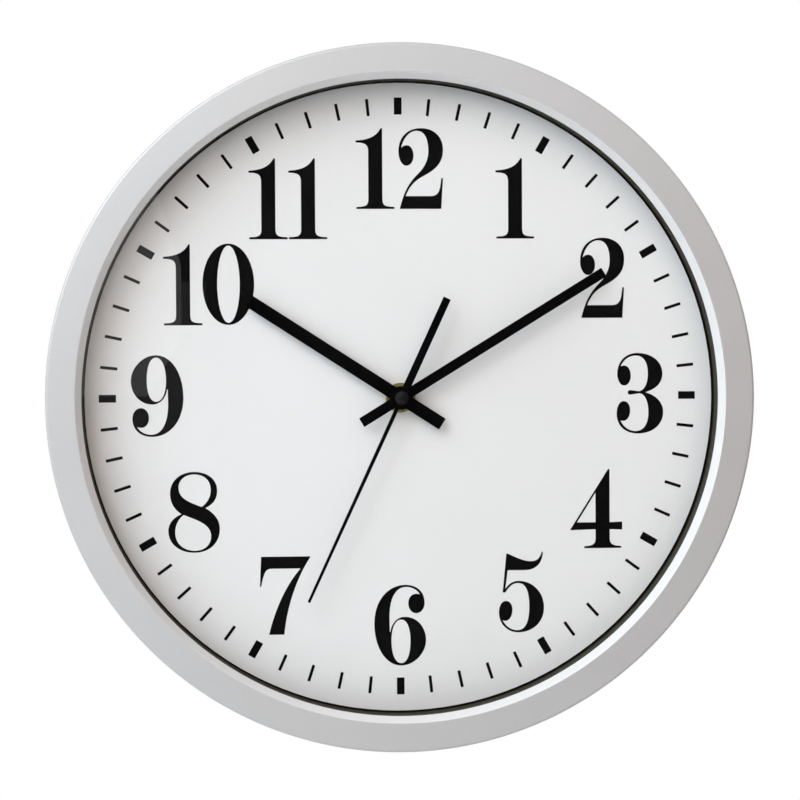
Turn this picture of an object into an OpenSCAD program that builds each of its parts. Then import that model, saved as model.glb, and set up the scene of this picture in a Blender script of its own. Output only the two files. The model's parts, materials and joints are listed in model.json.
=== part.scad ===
// Round wall clock, 300 mm across: a moulded bezel, flat glass, a printed dial, three straight hands
// and a quartz movement with its going train, motion work, motor and one AA cell. Millimetres.
// Pieces are drawn with x to the right, y towards twelve o'clock and z from the wall to the viewer.
// hung() then stands them up, so that the front faces -Y, twelve is +Z and the wall is the plane y = 0.

/* [Case] */
// Outer diameter of the bezel
case_d = 300; // [292:1:340]
// Distance from the wall to the setting knob, the rearmost piece inside the case
knob_clear = 2; // [1.5:0.1:10]
// Wall thickness of the bezel moulding
case_wall = 2.6; // [2.2:0.1:3.2]
// Loss of outer radius from the front shoulder to the rear rim
side_draft = 1; // [0:0.1:1.4]
// Chamfer of the rear rim
rear_chamfer = 0.4; // [0.2:0.1:0.6]

/* [Bezel front] */
// Radial width of the front face, from the outer edge to the ridge
rim_w = 11.8; // [11:0.1:20]
// Radial width of the bevel round the opening
bevel_w = 3; // [2:0.1:5]
// Depth from the ridge of the bezel to the front of the glass
lip_depth = 6; // [4:0.1:7]
// Height of the straight land under the bevel
lip_land = 0.8; // [0.4:0.1:1.5]
// Radius of the ridge between bevel and front face
ridge_round = 0.5; // [0.2:0.1:1]
// Fall of the front face from its ridge to its outer edge
face_fall = 1; // [0.4:0.1:2]
// Radius of the outer front edge
edge_round = 2; // [1:0.1:3]
// Number of stiffening ribs inside the bezel
bezel_ribs = 24; // [12:4:40]
// Thickness of a rib inside the bezel
bezel_rib_t = 1.4; // [1:0.1:2]

/* [Glass and dial] */
// Thickness of the flat glass
lens_t = 2; // [1.5:0.1:3]
// Radial play of glass, spacer and dial in their well
lens_gap = 0.3; // [0.1:0.05:0.5]
// Wall of the well that holds the glass
well_wall = 2.2; // [1.6:0.1:2.4]
// Bearing of the glass on the lip, in radius
lens_bearing = 3.3; // [2:0.1:3.6]
// How far the black spacer stands proud of the opening
spacer_proud = 0.2; // [0.1:0.05:1]
// Free depth between dial and glass
hand_space = 12; // [11.5:0.1:16]
// Thickness of the printed dial
dial_t = 0.5; // [0.3:0.1:1]

/* [Back plate] */
// Thickness of the back plate
plate_t = 2.5; // [2:0.1:3]
// Radial gap between back plate and bezel
plate_gap = 0.6; // [0.3:0.1:1]
// Height of the ribs on the back plate
plate_rib_h = 3; // [2:0.5:5]
// Thickness of the ribs on the back plate
plate_rib_t = 1.6; // [1:0.1:2.4]
// Number of radial ribs on the back plate
plate_ribs = 12; // [12:12:24]
// Mean radius of the inner ring rib
inner_ring_r = 66; // [60:1:75]
// Distance of the outer ring rib from the edge of the plate
ring_inset = 16.8; // [12:0.1:20]
// Height of the fence round the movement
fence_h = 5; // [3:0.5:7]
// Number of screws that hold the back plate
back_screw_count = 8; // [4:4:12]
// Radius of the moulded screw bosses
boss_r = 2.6; // [2.2:0.1:2.7]

/* [Hanger] */
// Width of the hanger box
hanger_w = 30; // [28:1:40]
// Height of the hanger box, along the clock's upright
hanger_h = 34; // [32:1:44]
// Distance of the hanger box from the edge of the plate
hanger_inset = 24.8; // [22:0.1:32]
// Wall of the hanger box
hanger_wall = 2; // [1.6:0.1:3]
// Thickness of the steel hanger plate
hanger_plate_t = 1.2; // [0.8:0.1:1.6]
// Distance of the hanger plate from the wall
hanger_clear = 3.8; // [3:0.1:5]
// Diameter of the keyhole's round entry
keyhole_d = 9; // [8:0.5:11]
// Width of the keyhole's slot
slot_w = 4.8; // [4.4:0.1:5.5]
// Rise from the middle of the entry to the middle of the slot's end
slot_rise = 13; // [11:0.5:14]

/* [Screws] */
// Radius of a screw head
head_r = 2.4; // [2:0.1:2.6]
// Height of a screw head
head_h = 1.5; // [1.2:0.1:1.7]
// Radius of a screw shank
shank_r = 1.2; // [1:0.05:1.3]
// Length of a screw shank
shank_len = 8; // [6:0.5:12]

/* [Hands] */
// Clockwise angle of the hour hand from twelve
hour_angle = 302.8; // [0:0.1:360]
// Clockwise angle of the minute hand from twelve
minute_angle = 58.5; // [0:0.1:360]
// Clockwise angle of the second hand's long end from twelve
second_angle = 204.8; // [0:0.1:360]
// Length of the hour hand from its axis
hour_len = 76.6; // [60:0.1:90]
// Tail of the hour hand
hour_tail = 21; // [12:0.1:30]
// Width of the hour hand
hour_w = 5.5; // [4:0.1:7]
// Length of the minute hand from its axis
minute_len = 102.3; // [90:0.1:115]
// Tail of the minute hand
minute_tail = 20; // [12:0.1:30]
// Width of the minute hand
minute_w = 4.3; // [3:0.1:6]
// Length of the second hand's thin end
second_len = 95.6; // [80:0.1:110]
// Width of the thin end beside the hub
second_w = 1.7; // [1.4:0.1:2]
// Width of the thin end at its tip
second_tip_w = 1.2; // [0.8:0.1:1.4]
// Length of the second hand's counterweight
second_tail = 46.8; // [30:0.1:55]
// Width of the counterweight
second_tail_w = 3.3; // [2:0.1:4.5]
// Thickness of the hand sheet
hand_t = 0.5; // [0.3:0.1:0.6]
// Radius of the hour and minute hands' hubs
hub_r = 5; // [4.2:0.1:6]
// Radius of the second hand's domed cap
cap_r = 3; // [2:0.1:3.5]
// Height of the domed cap
cap_h = 1.3; // [0.8:0.1:1.6]

/* [Movement] */
// Free height between the hour wheel and the front wall of the movement
train_gap = 1.2; // [0.8:0.1:3]
// Wall of the movement case
move_wall = 1.5; // [1.2:0.1:1.6]
// Corner radius of the movement
move_round = 3; // [2:0.1:4]
// Play between the movement and the fence round it
fence_gap = 0.6; // [0.3:0.1:1]
// Thickness of the rubber cushion washer
cushion_t = 0.5; // [0.4:0.1:1]
// Radius of the rubber cushion washer
cushion_r = 12; // [8:0.5:14]
// Thickness of the train bridge
bridge_t = 1.2; // [1:0.1:1.4]
// Radius of the pillars under the bridge
pillar_r = 2; // [1.8:0.1:2.2]
// Radius of the setting knob
knob_r = 6; // [4:0.1:6.5]
// Height of the setting knob
knob_h = 2.2; // [1.5:0.1:2.4]

/* [Gear train] */
// Tooth size of the rotor pinion and the intermediate wheel
rotor_module = 0.27; // [0.25:0.01:0.28]
// Tooth size of the intermediate pinion and the second wheel
second_module = 0.27; // [0.25:0.01:0.28]
// Tooth size of the second pinion and the third wheel
third_module = 0.25; // [0.24:0.01:0.26]
// Tooth size of the cannon pinion, the minute wheel and the setting pinion
minute_module = 0.35; // [0.34:0.01:0.36]
// Thickness of a wheel in the going train
wheel_t = 1; // [0.8:0.05:1]
// Free height between two wheels
level_gap = 0.4; // [0.3:0.05:0.45]
// Radius of the slim steel arbors
arbor_r = 0.5; // [0.4:0.05:0.55]
// Radial clearance of a running fit
run_gap = 0.06; // [0.03:0.01:0.08]
// Radial clearance of a fixed fit
fix_gap = 0.02; // [0.01:0.01:0.05]

/* [Shaft stack] */
// Outer radius of the threaded bushing
bushing_r = 4; // [3.8:0.1:4.2]
// Outer radius of the hour tube
hour_tube_r = 2.6; // [2.5:0.05:2.8]
// Outer radius of the minute tube
minute_tube_r = 1.6; // [1.5:0.05:1.65]
// Radius of the brass dial washer
washer_r = 6.4; // [6:0.1:9]
// Thickness of the brass dial washer
washer_t = 0.4; // [0.3:0.1:0.6]
// Width across the flats of the hex nut
nut_flats = 11; // [10:0.1:12]
// Thickness of the hex nut
nut_t = 2.2; // [1.8:0.1:2.4]

/* [Battery] */
// Diameter of the AA cell
cell_d = 14.2; // [13.5:0.1:14.3]
// Length of the AA cell with its button
cell_len = 50.5; // [49.5:0.1:50.5]
// Play round the cell in its bay
cell_gap = 0.2; // [0.1:0.05:0.3]
// Room for a contact at each end of the cell
contact_room = 1.25; // [1:0.05:3]
// Width of the half-round notch for lifting the cell out
notch_w = 22; // [16:1:24]

/* [Hidden] */
$fn = 96;
// Cutters pass this far through what they cut
past = 1;

// Levels of the movement above the wall, from the setting knob over its cover and train to its front
knob_gap = 0.3;
bridge_gap = 1;
foot = 0.6;
motion_t = 1.6;
hour_wheel_t = 1.4;
move_rear = knob_clear + knob_h + knob_gap;
cover_inner = move_rear + move_wall;
bridge_rear = cover_inner + bridge_gap;
bridge_front = bridge_rear + bridge_t;
motion_z = level(4);
hour_z = motion_z + motion_t + level_gap;
front_inner = hour_z + hour_wheel_t + train_gap;
move_front = front_inner + move_wall;

// Heights above the wall, from the movement out to the bezel's ridge
plate_rear = move_front + cushion_t;
plate_front = plate_rear + plate_t;
dial_front = plate_front + dial_t;
lens_rear = dial_front + hand_space;
lens_front = lens_rear + lens_t;
case_depth = lens_front + lip_depth;

// Radii of the bezel and of what lies in its well
case_r = case_d / 2;
inside_r = case_r - case_wall;
rear_r = case_r - side_draft;
ridge_r = case_r - rim_w;
opening_r = ridge_r - bevel_w;
lens_r = opening_r + lens_bearing;
well_r = lens_r + lens_gap;
well_out_r = well_r + well_wall;
spacer_in_r = opening_r - spacer_proud;
shoulder_z = case_depth - face_fall - edge_round;
plate_r = inside_r - plate_gap;
outer_ring_r = plate_r - ring_inset;
boss_ring_r = (well_out_r + inside_r) / 2;
pilot_r = shank_r + fix_gap;

// Hanger box and its pocket
hanger_front = hanger_clear + hanger_plate_t;
hanger_y = plate_r - hanger_inset - hanger_h / 2;
entry_y = hanger_y - slot_rise / 2;
hanger_screw_x = hanger_w / 2 - hanger_wall - boss_r / 2;

// Square movement case, as wide as the cell and its contacts, with the cell along its lower side
inner_w = cell_len + 2 * contact_room;
move_w = inner_w + 2 * move_wall;
cell_y = -inner_w / 2 + cell_gap + cell_d / 2;
cell_z = front_inner - cell_gap - cell_d / 2;
divider_t = 1;
divider_top = cell_y + cell_d / 2 + cell_gap + divider_t;
lip_t = 1;
lip_h = 2;

// Tooth counts: 30 turns of the rotor to one of the second hand, then 60 and 12
rotor_teeth = 8;
intermediate_teeth = 40;
intermediate_pinion_teeth = 10;
second_teeth = 60;
second_pinion_teeth = 8;
third_teeth = 64;
third_pinion_teeth = 8;
centre_teeth = 60;
cannon_teeth = 10;
minute_teeth = 30;
minute_pinion_teeth = 8;
hour_teeth = 32;
setting_teeth = 12;

// Tooth form: height over and depth under the pitch circle in tooth sizes, then the fill of half a pitch
addendum = 0.85;
dedendum = 1.25;
tooth_fill = 0.84;

// Distances between arbors, and the tooth sizes that a shared distance fixes
rotor_distance = rotor_module * (rotor_teeth + intermediate_teeth) / 2;
intermediate_distance = second_module * (intermediate_pinion_teeth + second_teeth) / 2;
third_distance = third_module * (second_pinion_teeth + third_teeth) / 2;
centre_module = 2 * third_distance / (third_pinion_teeth + centre_teeth);
minute_distance = minute_module * (cannon_teeth + minute_teeth) / 2;
hour_module = 2 * minute_distance / (minute_pinion_teeth + hour_teeth);
setting_distance = minute_module * (minute_teeth + setting_teeth) / 2;

// Directions from one arbor to the next, counted anticlockwise from three o'clock
intermediate_dir = 135;
rotor_dir = 135;
third_dir = 60;
minute_dir = -20;
setting_dir = 20;
centre_at = [0, 0];
intermediate_at = centre_at + polar(intermediate_distance, intermediate_dir);
rotor_at = intermediate_at + polar(rotor_distance, rotor_dir);
third_at = centre_at + polar(third_distance, third_dir);
minute_at = centre_at + polar(minute_distance, minute_dir);
setting_at = minute_at + polar(setting_distance, setting_dir);

// Arbors, the pillars beside the wheels and the bridge on them
end_shake = 0.1;
hub_wall = 0.8;
side_gap = 0.2;
pivot_depth = 0.9;
shoulder_r = 1.3 * arbor_r;
pillar_gap = 0.7;
left_pillar_dir = 203;
right_pillar_dir = 0;
upper_pillar_dir = 104;
lower_pillar_dir = 223;
pillars = [beside(intermediate_at, intermediate_teeth, rotor_module, left_pillar_dir),
    beside(third_at, third_teeth, third_module, right_pillar_dir),
    beside(third_at, third_teeth, third_module, upper_pillar_dir),
    beside(centre_at, second_teeth, second_module, lower_pillar_dir)];
bridge_rim = 1;
bridge_edge = pillar_r + bridge_rim;
setting_edge = 4.5;
small_head_r = 1.6;
small_head_h = 0.7;
small_shank_r = 0.8;
small_shank_len = 5;

// Motor: rotor, stator and coil
magnet_r = 2.8;
magnet_h = 3;
magnet_z = level(3) - level_gap;
stator_t = 1;
stator_z = magnet_z + (magnet_h - stator_t) / 2;
air_gap = 0.6;
stator_web = 1.4;
stator_hole_r = magnet_r + air_gap;
stator_ring_r = stator_hole_r + stator_web;
leg_w = 4;
leg_inset = 1.5;
leg_gap = 0.5;
leg_left = leg_inset - inner_w / 2;
leg_right = rotor_at[0] + stator_ring_r + leg_gap;
coil_r = 3.6;
coil_y = inner_w / 2 - move_wall - coil_r;
core_z = stator_z + stator_t;
core_t = 1;
core_w = 3;
coil_left = leg_left + leg_w + leg_gap;
coil_right = leg_right - leg_gap;
flange_t = 0.8;
bobbin_wall = 0.5;

// Circuit board on two posts
board_t = 1;
board_z = bridge_front;
board_w = 16.5;
board_h = 11.5;
board_inset = 1;
board_max = [inner_w / 2 - board_inset, inner_w / 2 - board_inset];
board_min = board_max - [board_w, board_h];
post_r = 1.5;
post_pin_r = 0.7;
post_inset = 2;
board_posts = [[board_min[0] + post_inset, board_max[1] - post_inset],
    [board_max[0] - post_inset, board_min[1] + post_inset]];

// Setting shaft and knob
setting_shaft_r = 1.5;
setting_pivot_r = 0.6;
knob_flutes = 24;
flute_r = 0.5;

// Hands on their tubes, counted up from the dial
bushing_shoulder_r = 5.5;
bushing_gap = 0.3;
thread_proud = 0.6;
bushing_top = dial_front + washer_t + nut_t + thread_proud;
collet_h = 0.6;
collet_wall = 1;
tube_proud = 0.4;
hand_gap = 0.4;
minute_gap = 1;
hour_bottom = bushing_top + hand_gap;
hour_top = hour_bottom + collet_h + hand_t + tube_proud;
minute_bottom = hour_top + minute_gap;
minute_top = minute_bottom + collet_h + hand_t + tube_proud;
second_bottom = minute_top + hand_gap;
second_collet_h = 1;
second_sheet_z = second_bottom + second_collet_h;
second_top = second_sheet_z + hand_t + tube_proud;

// Battery contacts and the strips that lead to the board
contact_t = 0.4;
contact_h = 9;
contact_gap = 0.1;
contact_reach = contact_room - contact_gap;
tail_h = 3;
tail_z = board_z + tail_h / 2;
tail_top = inner_w / 2 - move_round;
button_r = 2.75;
button_h = 1.3;

// A point in polar terms
function polar(r, a) = [r * cos(a), r * sin(a)];

// An arc from angle a to angle b about a centre
function arc(centre, r, a, b, steps) = [for (i = [0:steps]) centre + polar(r, a + (b - a) * i / steps)];

// Lower face of one level of the going train
function level(i) = bridge_front + foot + i * (wheel_t + level_gap);

// Outer radius of a toothed wheel
function tip_r(teeth, size) = teeth * size / 2 + addendum * size;

// Place of a pillar that clears a toothed wheel on one side
function beside(axis, teeth, size, dir) = axis + polar(tip_r(teeth, size) + pillar_gap + pillar_r, dir);

// One tooth as radius and half angle: straight radial flanks, then a tip that narrows like an ogive
function flank(teeth, size) = [
    [teeth * size / 2 - dedendum * size, 1],
    [teeth * size / 2, 1],
    [teeth * size / 2 + 0.5 * addendum * size, 0.75],
    [tip_r(teeth, size), 0.4]];

// Outline of a toothed wheel with a tooth on the +x axis
function gear_outline(teeth, size) = let (half = 90 / teeth * tooth_fill, side = flank(teeth, size))
    [for (k = [0:teeth - 1], i = [0:2 * len(side) - 1])
        let (p = side[i < len(side) ? i : 2 * len(side) - 1 - i], turn = i < len(side) ? -1 : 1)
        polar(p[0], 360 * k / teeth + turn * half * p[1])];

// Stands a piece up from the drawing frame
module hung() {
    rotate([90, 0, 0]) children();
}

// Moves a piece to an arbor and a height
module at(point, z) {
    translate([point[0], point[1], z]) children();
}

// A disc from one height to another
module disc(r, z0, z1) {
    translate([0, 0, z0]) cylinder(r = r, h = z1 - z0);
}

// A round hole from one height to another
module hole(r, z0, z1) {
    disc(r, z0 - past, z1 + past);
}

// A tube from one height to another
module tube(r, bore, z0, z1) {
    difference() {
        disc(r, z0, z1);
        hole(bore, z0, z1);
    }
}

// A toothed wheel with one tooth, or one gap, facing a given direction
module toothed(teeth, size, z0, z1, dir, gap_first = false) {
    translate([0, 0, z0])
        rotate(dir + (gap_first ? 180 / teeth : 0))
            linear_extrude(z1 - z0) polygon(gear_outline(teeth, size));
}

// A square slab with round corners
module slab(w, h, r, z0, z1) {
    translate([0, 0, z0]) linear_extrude(z1 - z0) union() {
        square([w - 2 * r, h], center = true);
        square([w, h - 2 * r], center = true);
        for (x = [-1, 1], y = [-1, 1])
            translate([x * (w / 2 - r), y * (h / 2 - r)]) circle(r);
    }
}

// A pan head screw that enters towards +z, its head's seat at z = 0, with a cross recess half a head deep
module pan_screw(r = head_r, h = head_h, shank = shank_r, length = shank_len) {
    edge = 0.6 * h;
    difference() {
        union() {
            rotate_extrude() polygon(concat([[0, 0], [r, 0]],
                arc([r - edge, edge - h], edge, 0, -90, 6), [[0, -h]]));
            disc(shank, -h / 4, length);
        }
        for (a = [0, 90])
            rotate(a) translate([0, 0, -h]) cube([1.3 * r, 0.35 * r, h], center = true);
    }
}

// Copies of a piece at the screw places round the back plate
module at_back_screws(z) {
    for (i = [0:back_screw_count - 1])
        rotate((i + 0.5) * 360 / back_screw_count) translate([boss_ring_r, 0, z]) children();
}

// Copies of a piece at the hanger plate's two screws
module at_hanger_screws(z) {
    for (x = [-1, 1]) translate([x * hanger_screw_x, hanger_y, z]) children();
}

// Silver moulding: tapered side, sloping face, ridge and bevel, with the glass well, bosses and ribs behind
module bezel() {
    edge_sweep = 84;
    edge = arc([case_r - edge_round, shoulder_z], edge_round, 0, edge_sweep, 8);
    edge_end = edge[len(edge) - 1];
    face_slope = (case_depth - edge_end[1]) / (edge_end[0] - ridge_r);
    function face_height(r) = case_depth - face_slope * (r - ridge_r);
    bevel_foot = [opening_r, lens_front + lip_land];
    bevel_dir = atan2(bevel_w, bevel_foot[1] - case_depth);
    face_dir = 90 - atan(face_slope);
    ridge = arc([ridge_r + ridge_round, case_depth - ridge_round], ridge_round, face_dir, bevel_dir, 4);
    under_in = face_height(well_out_r) - case_wall;
    under_out = face_height(inside_r) - case_wall;
    rib_r = well_r + well_wall / 2;
    rib_z = lens_rear - well_wall;
    rib_top = under_out + case_wall / 2;
    color("silver") hung() difference() {
        union() {
            rotate_extrude($fn = 256) polygon(concat(
                [[inside_r, 0], [rear_r - rear_chamfer, 0], [rear_r, rear_chamfer]], edge, ridge,
                [bevel_foot, [opening_r, lens_front], [well_r, lens_front], [well_r, plate_front],
                    [well_out_r, plate_front], [well_out_r, under_in], [inside_r, under_out]]));
            at_back_screws(plate_front) cylinder(r = boss_r, h = rib_top - plate_front);
            for (i = [0:bezel_ribs - 1]) rotate(i * 360 / bezel_ribs)
                translate([rib_r, -bezel_rib_t / 2, rib_z])
                    cube([inside_r + case_wall / 2 - rib_r, bezel_rib_t, rib_top - rib_z]);
        }
        at_back_screws(plate_front) hole(pilot_r, 0, shank_len - plate_t);
    }
}

// Flat float glass behind the bezel's lip
module lens() {
    color([0.8, 0.88, 0.9, 0.35]) hung() rotate_extrude($fn = 256)
        translate([0, lens_rear]) square([lens_r, lens_t]);
}

// Black ring that holds the glass off the dial
module spacer_ring() {
    color([0.08, 0.08, 0.08]) hung() rotate_extrude($fn = 256)
        translate([spacer_in_r, dial_front]) square([lens_r - spacer_in_r, hand_space]);
}

// White printed dial sheet
module dial() {
    color("white") hung() tube(lens_r, bushing_r + bushing_gap, plate_front, dial_front, $fn = 256);
}

// Moulded back plate with ribs, movement fence and hanger box
module back_plate() {
    fence_in = move_w + 2 * fence_gap;
    fence_out = fence_in + 2 * plate_rib_t;
    rib_z = plate_rear - plate_rib_h;
    color([0.2, 0.2, 0.21]) hung() difference() {
        union() {
            disc(plate_r, plate_rear, plate_front, $fn = 256);
            for (r = [inner_ring_r, outer_ring_r])
                tube(r + plate_rib_t / 2, r - plate_rib_t / 2, rib_z, plate_rear, $fn = 192);
            difference() {
                for (i = [0:plate_ribs - 1])
                    rotate((i + 0.5) * 360 / plate_ribs)
                        translate([fence_in / 2, -plate_rib_t / 2, rib_z])
                            cube([outer_ring_r - fence_in / 2, plate_rib_t, plate_rib_h]);
                slab(fence_in, fence_in, move_round, rib_z - past, plate_rear);
            }
            difference() {
                slab(fence_out, fence_out, move_round, plate_rear - fence_h, plate_rear);
                slab(fence_in, fence_in, move_round, plate_rear - fence_h - past, plate_rear);
            }
            translate([0, hanger_y, 0]) difference() {
                slab(hanger_w, hanger_h, hanger_wall, hanger_front, plate_rear);
                slab(hanger_w - 2 * hanger_wall, hanger_h - 2 * hanger_wall, hanger_wall / 2,
                    hanger_front - past, plate_rear);
            }
            at_hanger_screws(hanger_front) cylinder(r = boss_r, h = plate_rear - hanger_front);
        }
        hole(bushing_r + bushing_gap, plate_rear, plate_front);
        at_back_screws(0) hole(shank_r + run_gap, plate_rear, plate_front);
        at_hanger_screws(hanger_front) hole(pilot_r, 0, shank_len);
    }
}

// Self-tapping screws round the back plate
module back_screws() {
    color("gainsboro") hung() at_back_screws(plate_rear) pan_screw();
}

// Stamped steel plate with the hanging keyhole
module hanger_plate() {
    color("lightsteelblue") hung() difference() {
        translate([0, hanger_y, 0]) slab(hanger_w, hanger_h, hanger_wall, hanger_clear, hanger_front);
        translate([0, entry_y, 0]) hole(keyhole_d / 2, hanger_clear, hanger_front);
        translate([-slot_w / 2, entry_y, hanger_clear - past])
            cube([slot_w, slot_rise, hanger_plate_t + 2 * past]);
        translate([0, entry_y + slot_rise, 0]) hole(slot_w / 2, hanger_clear, hanger_front);
        at_hanger_screws(0) hole(shank_r + run_gap, hanger_clear, hanger_front);
    }
}

// Self-tapping screws of the hanger plate
module hanger_screws() {
    color("gainsboro") hung() at_hanger_screws(hanger_clear) pan_screw();
}

// Rubber washer between movement and back plate
module cushion_washer() {
    color([0.12, 0.12, 0.12]) hung()
        tube(cushion_r, bushing_shoulder_r + bushing_gap, move_front, plate_rear);
}

// Half-round notch in the lower wall of the movement, for lifting the cell out
module lifting_notch() {
    translate([0, past - inner_w / 2, move_rear]) rotate([90, 0, 0])
        cylinder(r = notch_w / 2, h = move_wall + 2 * past);
}

// Movement case: front wall, side walls, battery divider, pillars, board posts and bearing holes
module movement_case() {
    color([0.13, 0.13, 0.14]) hung() difference() {
        union() {
            difference() {
                slab(move_w, move_w, move_round, cover_inner, move_front);
                slab(inner_w, inner_w, move_round - move_wall / 2, cover_inner - past, front_inner);
            }
            translate([-inner_w / 2 - fix_gap, divider_top - divider_t, cover_inner])
                cube([inner_w + 2 * fix_gap, divider_t, front_inner - cover_inner + fix_gap]);
            for (p = pillars) at(p, 0) disc(pillar_r, bridge_front, front_inner + past);
            for (p = board_posts) at(p, 0) {
                disc(post_r, board_z + board_t, front_inner + past);
                disc(post_pin_r, board_z, front_inner);
            }
            at(minute_at, 0) disc(arbor_r, motion_z - end_shake, front_inner + past);
            at(minute_at, 0) disc(2 * arbor_r, hour_z + hour_wheel_t + end_shake, front_inner + past);
            for (x = [leg_left, leg_right]) at([x + leg_w / 2, coil_y], 0)
                disc(post_r, core_z + core_t, front_inner + past);
        }
        hole(bushing_r + fix_gap, front_inner, move_front);
        for (p = [intermediate_at, rotor_at, third_at])
            at(p, 0) disc(arbor_r + run_gap, front_inner - past, front_inner + pivot_depth);
        at(setting_at, 0) disc(setting_pivot_r + run_gap, front_inner - past, front_inner + pivot_depth);
        for (p = pillars) at(p, 0)
            hole(small_shank_r + fix_gap, bridge_front, bridge_rear + small_shank_len);
        for (x = [-1, 1]) translate([x * (inner_w / 2 - contact_t), divider_top - divider_t / 2, tail_z])
            cube([2 * contact_t, 2 * divider_t, tail_h + 2 * contact_t], center = true);
        lifting_notch();
    }
}

// Rear cover with the battery window, the knob hole and a locating lip
module movement_cover() {
    window_w = cell_len + 2 * cell_gap;
    window_h = cell_d + cell_gap;
    lip_w = inner_w - 2 * fix_gap;
    lip_in = lip_w - 2 * lip_t;
    color([0.15, 0.15, 0.16]) hung() difference() {
        union() {
            slab(move_w, move_w, move_round, move_rear, cover_inner);
            difference() {
                slab(lip_w, lip_w, move_round - move_wall / 2, cover_inner, cover_inner + lip_h);
                slab(lip_in, lip_in, lip_t / 2, cover_inner - past, cover_inner + lip_h + past);
                translate([-move_w, -move_w, cover_inner])
                    cube([2 * move_w, move_w + divider_top + lip_t, lip_h + past]);
            }
        }
        translate([-window_w / 2, cell_y - window_h / 2, move_rear - past])
            cube([window_w, window_h, move_wall + 2 * past]);
        at(setting_at, 0) hole(setting_shaft_r + run_gap, move_rear, cover_inner);
        lifting_notch();
    }
}

// Plate that carries the rear pivots of the train
module train_bridge() {
    color([0.85, 0.85, 0.82]) hung() difference() {
        union() {
            translate([0, 0, bridge_rear]) linear_extrude(bridge_t)
                polygon([pillars[3] + polar(bridge_edge, -60), pillars[3] + polar(bridge_edge, 210),
                    pillars[0] + polar(bridge_edge, 210), pillars[0] + polar(bridge_edge, 150),
                    rotor_at + polar(bridge_edge, 150), rotor_at + polar(bridge_edge, 110),
                    pillars[2] + polar(bridge_edge, 110), pillars[2] + polar(bridge_edge, 45),
                    pillars[1] + polar(bridge_edge, 45), pillars[1] + polar(bridge_edge, -90),
                    setting_at + polar(setting_edge, 120), setting_at + polar(setting_edge, 180)]);
            for (p = pillars) at(p, 0) disc(bridge_edge, bridge_rear, bridge_front);
        }
        for (p = [centre_at, intermediate_at, rotor_at, third_at])
            at(p, 0) hole(arbor_r + run_gap, bridge_rear, bridge_front);
        for (p = pillars) at(p, 0) hole(small_shank_r + run_gap, bridge_rear, bridge_front);
    }
}

// Small screws of the train bridge
module bridge_screws() {
    color("gainsboro") hung() for (p = pillars) at(p, bridge_rear)
        pan_screw(small_head_r, small_head_h, small_shank_r, small_shank_len);
}

// Brass bushing that clamps the movement to back plate and dial
module threaded_bushing() {
    color("gold") hung() difference() {
        union() {
            disc(bushing_r, front_inner, bushing_top);
            disc(bushing_shoulder_r, move_front, plate_rear);
        }
        hole(hour_tube_r + run_gap, front_inner, bushing_top);
    }
}

// Brass washer on the dial
module dial_washer() {
    color("goldenrod") hung() tube(washer_r, bushing_r + run_gap, dial_front, dial_front + washer_t);
}

// Brass hexagon nut
module hex_nut() {
    nut_z = dial_front + washer_t;
    color("goldenrod") hung() difference() {
        translate([0, 0, nut_z]) cylinder(r = nut_flats / sqrt(3), h = nut_t, $fn = 6);
        hole(bushing_r + fix_gap, nut_z, nut_z + nut_t);
    }
}

// Hour wheel with its tube
module hour_wheel() {
    color("ivory") hung() difference() {
        union() {
            toothed(hour_teeth, hour_module, hour_z, hour_z + hour_wheel_t, minute_dir);
            disc(hour_tube_r, hour_z, hour_top);
            disc(hour_tube_r + hub_wall, hour_z, front_inner - end_shake);
        }
        hole(minute_tube_r + run_gap, hour_z, hour_top);
    }
}

// A straight hand with square ends, pressed over its tube
module sheet_hand(length, tail, w, tube_r, z0, top) {
    sheet_z = z0 + collet_h;
    difference() {
        union() {
            translate([-w / 2, -tail, sheet_z]) cube([w, length + tail, hand_t]);
            disc(hub_r, sheet_z, sheet_z + hand_t);
            disc(tube_r + collet_wall, z0, top);
        }
        hole(tube_r + fix_gap, z0, top);
    }
}

// Hour hand
module hour_hand() {
    color([0.06, 0.06, 0.06]) hung() rotate(-hour_angle)
        sheet_hand(hour_len, hour_tail, hour_w, hour_tube_r, hour_bottom, hour_top);
}

// Cannon pinion with the minute tube
module cannon_pinion() {
    seat_z = level(3) - side_gap;
    color("ivory") hung() difference() {
        union() {
            disc(minute_tube_r, seat_z, motion_z);
            disc(minute_tube_r + hub_wall, level(3) + wheel_t, motion_z);
            toothed(cannon_teeth, minute_module, motion_z, motion_z + motion_t, minute_dir, true);
            disc(minute_tube_r, motion_z + motion_t, minute_top);
        }
        hole(arbor_r + run_gap, seat_z, minute_top);
    }
}

// Centre wheel, a friction fit on the cannon pinion
module centre_wheel() {
    color("ivory") hung() difference() {
        toothed(centre_teeth, centre_module, level(3), level(3) + wheel_t, third_dir);
        hole(minute_tube_r + fix_gap, level(3), level(3) + wheel_t);
    }
}

// Minute hand
module minute_hand() {
    color([0.06, 0.06, 0.06]) hung() rotate(-minute_angle)
        sheet_hand(minute_len, minute_tail, minute_w, minute_tube_r, minute_bottom, minute_top);
}

// Second wheel with its pinion and the long arbor of the second hand
module second_wheel() {
    color("ivory") hung() {
        toothed(second_teeth, second_module, level(1), level(1) + wheel_t, intermediate_dir);
        toothed(second_pinion_teeth, third_module, level(1) + wheel_t, level(2) + wheel_t, third_dir, true);
        disc(arbor_r, bridge_rear, second_top);
        disc(2 * arbor_r, bridge_front + end_shake, level(1));
    }
}

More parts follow.
